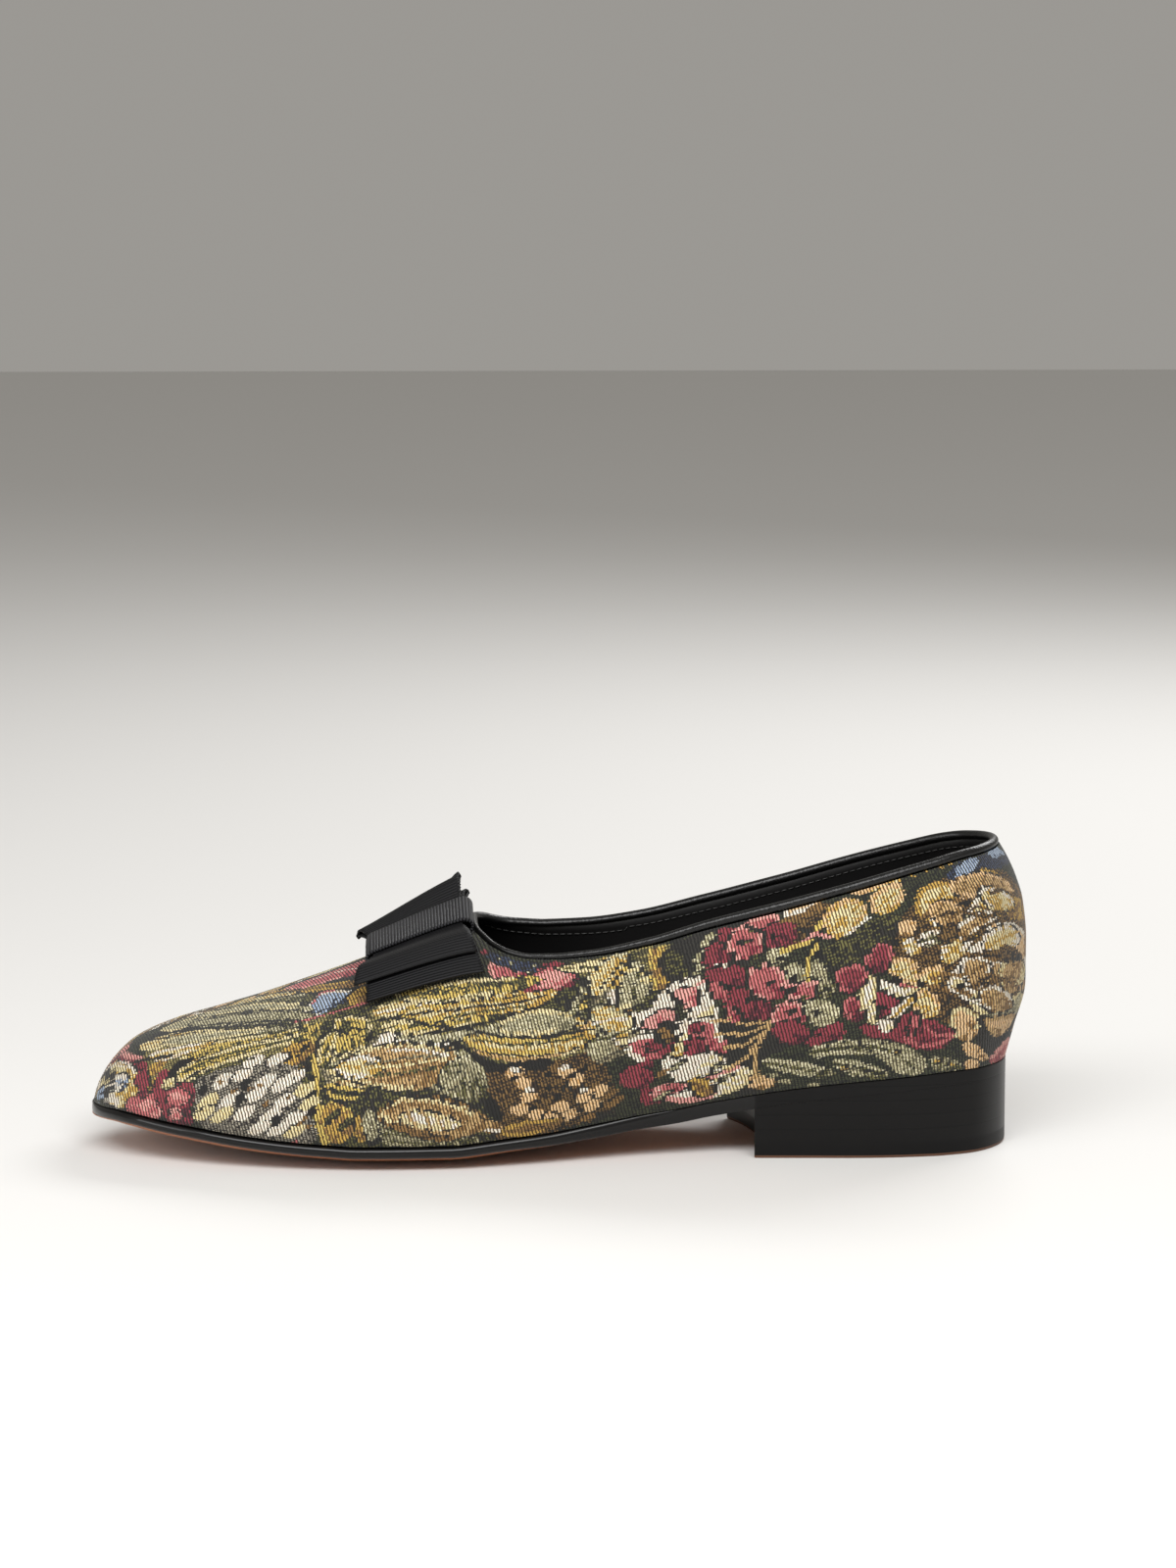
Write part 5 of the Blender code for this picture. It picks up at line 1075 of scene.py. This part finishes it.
LINING_ROWS = 30
lining_run = columns[(columns > 0.02)][::3]
lining_run = np.append(lining_run[lining_run < 0.998], 1.0)
# Lining calf: a weak gleam broken up by its grain, drawn about 1 mm across, which is coarser than
# the real one, so that it shows
lining_leather = finish_of("black_lining_leather", "#080707", 0.5)
place = add_node(lining_leather, "ShaderNodeTexCoord")
grain = add_node(lining_leather, "ShaderNodeTexVoronoi", [("Vector", place, "Object")], Scale=900.0)
bump = add_node(lining_leather, "ShaderNodeBump", [("Height", grain, "Distance")],
                Strength=0.2, Distance=0.0001)
feed(lining_leather, "Normal", bump, "Normal")
lining_grids = []
for side in (-1, 1):
    grid = side_grid(side, lining_run, LINING_ROWS, UPPER_WALL)
    under_binding = grid[:, -1:] + grid_normals(side, grid)[:, -1:] * 0.0005 + np.array((0, 0, 0.0009))
    open_edge = (lining_run > THROAT)[:, None, None]
    last_row = np.where(open_edge, under_binding, grid[:, -1:])
    lining_grids.append(np.concatenate((grid, last_row), 1) - ORIGIN)
lining, _ = grid_piece("leather_lining", lining_grids, [lining_leather], (True, False))
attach(lining, "root")

# Collar stitches: a row of thread that holds the lining to the cloth all round the opening.
# Each stitch is a short tapered arc that stands a little out of the lining.

STITCH_PITCH, STITCH_DEPTH, STITCH_RISE, THREAD_RADIUS = 0.0021, 0.0026, 0.00012, 0.00022
STITCH_RINGS, STITCH_SIDES = 5, 6
# Waxed thread: black, with a narrow soft gleam on each stitch
thread = finish_of("waxed_black_thread", "#121110", 0.45)
stitch_points, stitch_faces = [], []
for side in (-1, 1):
    run = THROAT + (1 - THROAT) * (1 - np.cos(math.pi * np.linspace(0, 1, 400))) / 2
    grid = side_grid(side, run, 60, UPPER_WALL)
    normals = grid_normals(side, side_grid(side, run, 60))
    rows = [int(np.searchsorted(row, row[-1] - STITCH_DEPTH * 1000)) for row in lengths_along(grid, 1)]
    line = grid[np.arange(len(run)), rows]
    inward = -normals[np.arange(len(run)), rows]
    travelled = lengths_along(line, 0) / 1000
    for start in np.arange(STITCH_PITCH, travelled[-1] - STITCH_PITCH, STITCH_PITCH):
        rings = []
        for t in np.linspace(0.12, 0.88, STITCH_RINGS):
            at = start + STITCH_PITCH * t
            middle = np.array([np.interp(at, travelled, line[:, k]) for k in range(3)])
            away = np.array([np.interp(at, travelled, inward[:, k]) for k in range(3)])
            arc = math.sin(math.pi * t)
            rings.append((middle + away * STITCH_RISE * arc, away, THREAD_RADIUS * arc ** 0.5))
        base = len(stitch_points)
        for k, (middle, away, radius) in enumerate(rings):
            ahead = unit_rows(rings[min(k + 1, STITCH_RINGS - 1)][0] - rings[max(k - 1, 0)][0])
            beside = np.cross(ahead, away)
            for q in range(STITCH_SIDES):
                turn = 2 * math.pi * q / STITCH_SIDES
                spoke = away * math.cos(turn) + beside * math.sin(turn)
                stitch_points.append(middle + spoke * radius - ORIGIN)
        for k in range(STITCH_RINGS - 1):
            for q in range(STITCH_SIDES):
                a, b = (base + k * STITCH_SIDES + n % STITCH_SIDES for n in (q, q + 1))
                stitch_faces.append((a, b, b + STITCH_SIDES, a + STITCH_SIDES))
stitches = add_mesh("collar_stitches", stitch_points, stitch_faces, [thread])
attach(stitches, "root")

# Topline binding: a strip of soft black leather rolled over the raw edge of the collar and sewn down.
# It is lower at the throat and has its full height round the heel.

CLEARANCE, BINDING_HEIGHT, BINDING_THICKNESS = 0.0003, 0.0027, 0.0026
BINDING_STEPS, BINDING_SIDES = 150, 20
# Pebbled leather: pebbles of about 0.7 mm and a few soft creases under a thin waxy shine
binding_leather = finish_of("pebbled_black_binding", "#0a0a0a", 0.34, {
    "Specular IOR Level": 0.35, "Coat Weight": 0.15, "Coat Roughness": 0.3})
place = add_node(binding_leather, "ShaderNodeTexCoord")
pebble = add_node(binding_leather, "ShaderNodeTexVoronoi", [("Vector", place, "Object")], Scale=1500.0)
crease = add_node(binding_leather, "ShaderNodeTexNoise", [("Vector", place, "Object")],
                  Scale=260.0, Detail=4.0)
height = add_node(binding_leather, "ShaderNodeMath", [(0, pebble, "Distance"), (1, crease, 0)],
                  operation="ADD")
bump = add_node(binding_leather, "ShaderNodeBump", [("Height", height, 0)], Strength=0.45, Distance=0.00016)
feed(binding_leather, "Normal", bump, "Normal")
path, outward, half_heights = [], [], []
for side, order in ((-1, 1), (1, -1)):
    run = THROAT + (1 - THROAT) * (1 - np.cos(math.pi * np.linspace(0, 1, BINDING_STEPS + 1) ** 0.85)) / 2
    held = np.clip(run, 0.002, 0.998)
    angle = collar_angle(side, section(side, run))
    near = np.minimum(angle, math.pi / 2 - 0.02)
    ahead, shape, behind = (section(side, held + step) for step in (0.001, 0.0, -0.001))
    lengthwise = form_points(side, ahead, near) - form_points(side, behind, near)
    upwards = form_points(side, shape, near + 0.01) - form_points(side, shape, near - 0.01)
    normal = unit_rows(np.cross(lengthwise, upwards)) * -side
    centre = form_points(side, section(side, run), angle) - normal * UPPER_WALL / 2
    half = along(COLLAR, "binding", run) * BINDING_HEIGHT / 2
    keep = slice(None) if side < 0 else slice(1, -1)
    for collected, values in ((path, centre), (outward, normal), (half_heights, half)):
        collected.append(values[::order][keep])
path, outward, half_heights = np.concatenate(path), np.concatenate(outward), np.concatenate(half_heights)
ahead = unit_rows(np.roll(path, -1, 0) - np.roll(path, 1, 0))
rise = unit_rows(np.cross(outward, ahead))
middle = path + rise * (CLEARANCE + half_heights)[:, None]
turns = np.linspace(0, 2 * math.pi, BINDING_SIDES + 1)
ring = (middle[:, None] + rise[:, None] * (np.cos(turns)[None, :, None] * half_heights[:, None, None])
        + outward[:, None] * np.sin(turns)[None, :, None] * BINDING_THICKNESS / 2)
ring = np.concatenate((ring, ring[:1])) - ORIGIN
binding, _ = grid_piece("rolled_binding", [ring], [binding_leather], (False,))
dress(binding, "topline_binding")

# Insole: a thin leather sock glued on the insole board. The part's own solid is kept and only gets
# its material.

# Sock leather: dull black with a faint grain, polished in places by wear
sock_leather = finish_of("black_sock_leather", "#0b0a0a", 0.55)
place = add_node(sock_leather, "ShaderNodeTexCoord")
grain = add_node(sock_leather, "ShaderNodeTexVoronoi", [("Vector", place, "Object")], Scale=800.0)
wear = add_node(sock_leather, "ShaderNodeTexNoise", [("Vector", place, "Object")], Scale=30.0, Detail=4.0)
bump = add_node(sock_leather, "ShaderNodeBump", [("Height", grain, "Distance")],
                Strength=0.3, Distance=0.00012)
gloss = add_node(sock_leather, "ShaderNodeMapRange", [("Value", wear, 0)],
                 **{"To Min": 0.45, "To Max": 0.65})
feed(sock_leather, "Normal", bump, "Normal")
feed(sock_leather, "Roughness", gloss, 0)
for material_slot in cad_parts["insole"].material_slots:
    material_slot.material = sock_leather

# Outsole: one cut of sole leather, glued under the upper, its edge trimmed round and waxed black.
# The edge squares up towards the heel, where it is sanded and blacked in one with the lifts under it.

# The sole stands out past the cloth at the forefoot and not at the heel; its edge goes from round to square
SOLE_MARGIN, MARGIN_END, MARGIN_FADE = 0.0006, 0.55, 0.12
ROUND_EDGE, SQUARE_EDGE, ROUND_END, ROUND_FADE = 0.42, 0.01, 0.46, 0.18
TREAD_SHARES, FLAT_TREAD = (0.0, 0.25, 0.45, 0.6, 0.75, 0.87), 0.45
OUTER_BREAST = 0.717  # the station where the heel begins on the outer side
LIFT_THICKNESS, GLUE_LINE = 0.0042, 0.0003
# Waxed edge: black, smooth and glossy over small pits of leather fibre
edge_wax = finish_of("waxed_black_sole_edge", "#080707", 0.36, {
    "Specular IOR Level": 0.16, "Coat Weight": 0.4, "Coat Roughness": 0.1})
place = add_node(edge_wax, "ShaderNodeTexCoord")
pits = add_node(edge_wax, "ShaderNodeTexNoise", [("Vector", place, "Object")], Scale=650.0, Detail=3.0)
bump = add_node(edge_wax, "ShaderNodeBump", [("Height", pits, 0)], Strength=0.12, Distance=0.0002)
feed(edge_wax, "Normal", bump, "Normal")
# Tread leather: raw tan hide, clouded by its fibres, with a dull gloss
tread_leather = finish_of("tan_tread_leather", "#9c5a35", 0.45)
place = add_node(tread_leather, "ShaderNodeTexCoord")
fibre = add_node(tread_leather, "ShaderNodeTexNoise", [("Vector", place, "Object")],
                 Scale=120.0, Detail=6.0)
tint = add_node(tread_leather, "ShaderNodeMix", [(0, fibre, 0)], data_type="RGBA",
                in_6=linear("#8a4a2a"), in_7=linear("#b87a50"))
feed(tread_leather, "Base Color", tint, 2)
# Burnished lifts: near black and satin, with a fine dark glue line at every lift of 4.2 mm
heel_wax = finish_of("burnished_black_heel_stack", "#060505", 0.36, {
    "Specular IOR Level": 0.18, "Coat Weight": 0.08, "Coat Roughness": 0.25})
place = add_node(heel_wax, "ShaderNodeTexCoord")
parts = add_node(heel_wax, "ShaderNodeSeparateXYZ", [("Vector", place, "Object")])
lifts = add_node(heel_wax, "ShaderNodeMath", [(0, parts, "Z")],
                 operation="PINGPONG", in_1=LIFT_THICKNESS / 2)
joint = add_node(heel_wax, "ShaderNodeMapRange", [("Value", lifts, 0)], interpolation_type="SMOOTHSTEP",
                 **{"From Max": GLUE_LINE})
rub = add_node(heel_wax, "ShaderNodeTexNoise", [("Vector", place, "Object")], Scale=420.0, Detail=3.0)
bump = add_node(heel_wax, "ShaderNodeBump", [("Height", joint, 0)], Strength=0.18, Distance=0.0001)
fine = add_node(heel_wax, "ShaderNodeBump", [("Height", rub, 0), ("Normal", bump, 0)],
                Strength=0.15, Distance=0.0001)
tint = add_node(heel_wax, "ShaderNodeMix", [(0, joint, 0)], data_type="RGBA",
                in_6=linear("#040404"), in_7=linear("#090808"))
feed(heel_wax, "Normal", fine, "Normal")
feed(heel_wax, "Base Color", tint, 2)
sole_run = (1 - np.cos(math.pi * np.linspace(0, 1, 161))) / 2
top, bottom, lift = feather(sole_run) - CLEARANCE, underside(sole_run), edge_lift(sole_run)
roundness = ROUND_EDGE - (ROUND_EDGE - SQUARE_EDGE) * np.clip((sole_run - ROUND_END) / ROUND_FADE, 0, 1)
margin = SOLE_MARGIN * (1 - np.clip((sole_run - MARGIN_END) / MARGIN_FADE, 0, 1))
side_rings = []
for side in (-1, 1):
    width = half_width(side, sole_run)
    full = width + margin * np.minimum(1.0, width / (0.1 * BALL_WIDTH))
    ring = []
    for share in TREAD_SHARES:
        crown = lift * max(0.0, (share - FLAT_TREAD) / (1 - FLAT_TREAD)) ** 1.6
        ring.append((full * share, bottom + crown))
    for turn in np.linspace(0, math.pi, 13):
        inset = (1 - math.sin(turn)) * roundness * SOLE_THICKNESS
        rim_height = bottom + lift + (top - bottom - lift) * (1 - math.cos(turn)) / 2
        ring.append((np.maximum(full - inset, 0.0), rim_height))
    # Under the foot the sole is dished a little
    ring += [(full * share, top - dish * lift) for share, dish in ((0.75, 0.25), (0.35, 0.7), (0.0, 0.7))]
    x = sole_run * (SOLE_LENGTH + SOLE_MARGIN) - SOLE_MARGIN
    side_rings.append(np.stack([np.stack((x, side * across, z), -1) for across, z in ring], 1) - ORIGIN)


def sole_slot(g, i, j):
    """The tread is left tan; the edge is waxed, and burnished with the lifts over the heel."""
    return 1 if j < len(TREAD_SHARES) else 2 if sole_run[i] > OUTER_BREAST else 0


outsole, _ = grid_piece("leather_outsole", side_rings, [edge_wax, tread_leather, heel_wax], (False, True),
                        slots=sole_slot)
outsole.data.set_sharp_from_angle(angle=math.radians(50))
dress(outsole, "outsole")

# Heel: stacked leather lifts, glued, cut to the seat, sanded smooth and blacked, on a rubber top piece.
# Its front, the breast, is hollow and runs a little aslant under the foot.

BREAST_HOLLOW, BREAST_SKEW, TOP_PIECE_THICKNESS = 0.0050, 0.0045, 0.0045
# Hard rubber: dull black with hardly any gleam, and brown along its lowest edge
rubber = finish_of("black_rubber_top_piece", "#090808", 0.45, {"Specular IOR Level": 0.2})
rubber_edge = finish_of("brown_rubber_bottom_edge", "#5a3a26", 0.6)


def heel_outline():
    """The heel's outline, the hollow breast and then round the back, closed, and a place within it."""
    share = -np.cos(np.linspace(0, math.pi, 25))
    front = OUTER_BREAST * SOLE_LENGTH - BREAST_SKEW * (share + 1) / 2 + BREAST_HOLLOW * (1 - share ** 2)
    width = np.where(share < 0, half_width(-1, front / SOLE_LENGTH), half_width(1, front / SOLE_LENGTH))
    breast = np.stack((front, share * width), -1)
    reach = np.sin(np.linspace(0, math.pi / 2, 49))[1:]
    inner_x, outer_x = (start + (SOLE_LENGTH - start) * reach for start in (front[-1], front[0]))
    inner = np.stack((inner_x, half_width(1, inner_x / SOLE_LENGTH)), -1)
    outer = np.stack((outer_x, -half_width(-1, outer_x / SOLE_LENGTH)), -1)
    outline = np.concatenate((breast, inner, outer[-2::-1], breast[:1]))
    return outline, np.array((0.5 * (front.mean() + SOLE_LENGTH), 0.0))


def heel_piece(name, levels, materials, slots=None):
    """Walls through the levels, each (height, inset) of the outline, with both ends closed."""
    outline, middle = heel_outline()
    rows = []
    for height_of, inset in levels:
        pulled = outline + unit_rows(middle - outline) * inset
        rows.append(np.concatenate((pulled, height_of(outline[:, :1])), 1))
    ends = []
    for row in (rows[0], rows[-1]):
        centre = np.concatenate((np.broadcast_to(middle, (len(row), 2)), row[:, 2:]), 1)
        ends.append([centre + (row - centre) * k for k in (0.001, 0.5, 0.8)])
    grid = np.stack(ends[0] + rows + ends[1][::-1]) - ORIGIN
    piece, _ = grid_piece(name, [grid], materials, (False,), slots=slots)
    piece.data.set_sharp_from_angle(angle=math.radians(35))
    return piece


def level(value):
    return lambda place: np.full_like(place, value)


def under_seat(share):
    """A height between the stack's foot and the sole's underside above it."""
    foot = TOP_PIECE_THICKNESS
    return lambda place: foot + (underside(place / SOLE_LENGTH) - foot) * share


stack_levels = [(under_seat(share), 0.0) for share in np.linspace(0.0, 1.0, 12)]
heel = heel_piece("stacked_heel", stack_levels, [heel_wax])
dress(heel, "heel_stack")
# Heights and insets of the top piece's wall; the first two bands of the wall are the brown edge
top_piece_wall = ((0.0, 0.0004), (0.0003, 0.0001), (0.0008, 0.0), (0.0010, 0.0), (0.0042, 0.0),
                  (TOP_PIECE_THICKNESS, 0.0))
top_piece = heel_piece("rubber_top_piece", [(level(height), inset) for height, inset in top_piece_wall],
                       [rubber, rubber_edge], lambda g, i, j: 1 if i in (3, 4) else 0)
dress(top_piece, "heel_top_piece")

# Bow: two pairs of flat grosgrain loops laid one on the other over the end of the vamp, with a ribbon
# band wrapped round the middle. The loops are folded flat and open a little between band and fold.

RIBBON_THICKNESS, BAND_THICKNESS, BAND_WIDTH, BAND_LENGTH = 0.0006, 0.0007, 0.0165, 0.0250
BOW_LENGTH, LOOP_SPAN, LOOP_HEIGHT, BOW_LIFT = 0.0350, 0.0205, 0.0024, 0.0100
BOW_OFFSET, BOW_CLEARANCE, BOW_CENTRE = -0.0010, 0.0009, 0.361
LOOP_STEPS, RIBBON_STEPS, BAND_STEPS = 170, 24, 24
SELVEDGE_NOTCH = 0.00028
WINGS = {
    "wing": ("lower outer", "lower inner", "upper outer", "upper inner"),
    "span": (1.16, 1.0, 0.97, 0.83),
    "toe_reach": (0.45, 0.46, 0.52, 0.50),
    "heel_reach": (0.50, 0.40, 0.46, 0.36),
    "heel_lift": (0.0, 0.55, 0.0, 0.65),
}


def form_top(station, across):
    """Points of the form over places across the foot."""
    station, across = np.broadcast_arrays(np.asarray(station, float), np.asarray(across, float))
    ridge_at = along(CREST, "ridge", station) * BALL_WIDTH
    result = np.empty(station.shape + (3,))
    for side in (-1, 1):
        shape = section(side, station)
        low, high = np.zeros(station.shape), np.full(station.shape, math.pi / 2)
        for _ in range(34):
            angle = (low + high) / 2
            reach = side * shape["widest"] * np.abs(np.cos(angle)) ** (2 / shape["width_power"])
            reach = reach + shape["ridge"] * np.maximum(np.sin(angle), 0.0) ** 3
            beyond = (reach - across) * side > 0
            low, high = np.where(beyond, angle, low), np.where(beyond, high, angle)
        climb = (shape["top"] - shape["widest_height"]) * np.sin(angle) ** (2 / shape["height_power"])
        points = np.stack((station * SOLE_LENGTH, across, shape["widest_height"] + climb), -1)
        mine = across < ridge_at if side < 0 else across >= ridge_at
        result[mine] = points[mine]
    return result


def over_vamp(place_along, place_across, offset):
    """Points at a distance off the vamp's cloth."""
    station = np.asarray(place_along) / SOLE_LENGTH
    lengthwise = form_top(station + 0.002, place_across) - form_top(station - 0.002, place_across)
    crosswise = form_top(station, place_across + 0.001) - form_top(station, place_across - 0.001)
    normal = unit_rows(np.cross(lengthwise, crosswise))
    return form_top(station, place_across) + normal * np.asarray(offset)[..., None]


def wing_row(pair, across):
    return WINGS["wing"].index(pair + (" outer" if across < 0 else " inner"))


def opening(pair, across):
    """How far a loop's two layers stand apart, and how far past the band the place is."""
    span = WINGS["span"][wing_row(pair, across)] * LOOP_SPAN
    past_band = min(max(0.0, (abs(across) - BAND_WIDTH / 2) / (span - BAND_WIDTH / 2)), 1.0)
    pinched = RIBBON_THICKNESS + CLEARANCE
    return pinched + (LOOP_HEIGHT - pinched) * math.sin(math.pi * past_band ** 1.5) ** 1.5, past_band


def ribbon_material(name, rib_pitch, strength, crown):
    """Grosgrain: dull black crosswise ribs, with painted shade between them and a painted highlight,
    a little lighter, on their crowns.

    The pitch is in millimetres, a little under 1 as in a heavy grosgrain.
    """
    ribbon = finish_of(name, "#0a0a0b", 0.5, {
        "Specular IOR Level": 0.18, "Sheen Weight": 0.02, "Sheen Roughness": 0.4})
    surface = add_node(ribbon, "ShaderNodeUVMap", uv_map="surface")
    parts = add_node(ribbon, "ShaderNodeSeparateXYZ", [("Vector", surface, "UV")])
    scaled = add_node(ribbon, "ShaderNodeMath", [(0, parts, "X")], operation="MULTIPLY", in_1=1 / rib_pitch)
    rib = add_node(ribbon, "ShaderNodeMath", [(0, scaled, 0)], operation="PINGPONG", in_1=0.5)
    ridge = add_node(ribbon, "ShaderNodeMapRange", [("Value", rib, 0)], interpolation_type="SMOOTHSTEP",
                     **{"From Max": 0.4})
    # Painted light: near black between the ribs as painted shade, the crown colour on the ribs as a painted
    # highlight
    tint = add_node(ribbon, "ShaderNodeMix", [(0, ridge, 0)], data_type="RGBA",
                    in_6=linear("#040405"), in_7=linear(crown))
    bump = add_node(ribbon, "ShaderNodeBump", [("Height", ridge, 0)], Strength=strength, Distance=0.0003)
    feed(ribbon, "Base Color", tint, 2)
    feed(ribbon, "Normal", bump, "Normal")
    return ribbon


def ribbon_piece(name, node, rows, ribbon, thickness):
    """A ribbon through rows of points, its ribs counted along its middle, given its thickness."""
    grid = np.stack(rows)
    run = lengths_along(grid[:, grid.shape[1] // 2], 0)
    uv = np.stack((np.broadcast_to(run[:, None], grid.shape[:2]), lengths_along(grid, 1)), -1)
    piece, _ = grid_piece(name, [grid - ORIGIN], [ribbon], (False,), [uv])
    wall = piece.modifiers.new("wall", "SOLIDIFY")
    wall.thickness, wall.offset = thickness, 0
    wall.use_even_offset = wall.use_quality_normals = True
    dress(piece, node)


def add_loops(name, node, pair, base_offset):
    """One pair of loops: a flat tube of ribbon over the vamp, pinched where the band holds it."""
    share = np.linspace(0, 1, RIBBON_STEPS + 1)
    rings = []
    for i in range(LOOP_STEPS + 1):
        turn = 2 * math.pi * (i % LOOP_STEPS) / LOOP_STEPS
        row = wing_row(pair, math.cos(turn))
        across = math.cos(turn) * WINGS["span"][row] * LOOP_SPAN
        opened, past_band = opening(pair, across)
        thick = opened * math.copysign(abs(math.sin(turn)) ** 0.4, math.sin(turn)) / 2
        middle = base_offset + opened / 2
        if pair == "upper":
            middle += opening("lower", across)[0]
        reach = {}
        for end in ("toe", "heel"):
            fold = WINGS[end + "_reach"][row] * BOW_LENGTH
            reach[end] = BAND_LENGTH / 2 + (fold - BAND_LENGTH / 2) * past_band ** 0.8
        place = BOW_CENTRE * SOLE_LENGTH - reach["toe"] + share * (reach["toe"] + reach["heel"])
        heights = np.full_like(place, middle + thick)
        points = over_vamp(place, np.full_like(place, BOW_OFFSET + across), heights)
        points[:, 2] += BOW_LIFT * WINGS["heel_lift"][row] * share * past_band ** 1.3
        # The selvedge is a row of tiny loops of weft, so both edges are finely notched
        points[[0, -1], 0] += np.array((1, -1)) * SELVEDGE_NOTCH * (i % 2)
        rings.append(points)
    rings[-1] = rings[0]
    ribbon_piece(name, node, rings, fine_ribbon, RIBBON_THICKNESS)


# The last colour of each is the painted highlight on its rib crowns, brightest on the band
fine_ribbon = ribbon_material("black_grosgrain_ribbon", 0.85, 0.5, "#121214")
band_ribbon = ribbon_material("black_grosgrain_band", 0.95, 1.0, "#2a2a2d")
layer_height = RIBBON_THICKNESS + CLEARANCE
band_low = BOW_CLEARANCE + BAND_THICKNESS / 2
first_layer = band_low + BAND_THICKNESS / 2 + CLEARANCE + RIBBON_THICKNESS / 2
second_layer = first_layer + layer_height + CLEARANCE
band_high = second_layer + 2 * layer_height + RIBBON_THICKNESS / 2 + CLEARANCE + BAND_THICKNESS / 2
add_loops("lower_bow_loops", "bow_lower_loops", "lower", first_layer)
add_loops("upper_bow_loops", "bow_upper_loops", "upper", second_layer)

# The band goes over the loops, round their edge, back under them and round again
middle, radius = (band_low + band_high) / 2, (band_high - band_low) / 2
band_path = []
for end in (1, -1):
    for k in range(1, BAND_STEPS):
        band_path.append((end * BAND_LENGTH / 2 * (-1 + 2 * k / BAND_STEPS), middle + end * radius))
    for turn in np.linspace(0, math.pi, 15):
        past = BAND_LENGTH / 2 + radius * math.sin(turn)
        band_path.append((end * past, middle + end * radius * math.cos(turn)))
band_path.append(band_path[0])
across = BOW_OFFSET + BAND_WIDTH * np.linspace(-0.5, 0.5, 17)
rows = []
for place, offset in band_path:
    lengthwise = np.full_like(across, BOW_CENTRE * SOLE_LENGTH + place)
    rows.append(over_vamp(lengthwise, across, np.full_like(across, offset)))
ribbon_piece("ribbon_band", "bow_knot", rows, band_ribbon, BAND_THICKNESS)
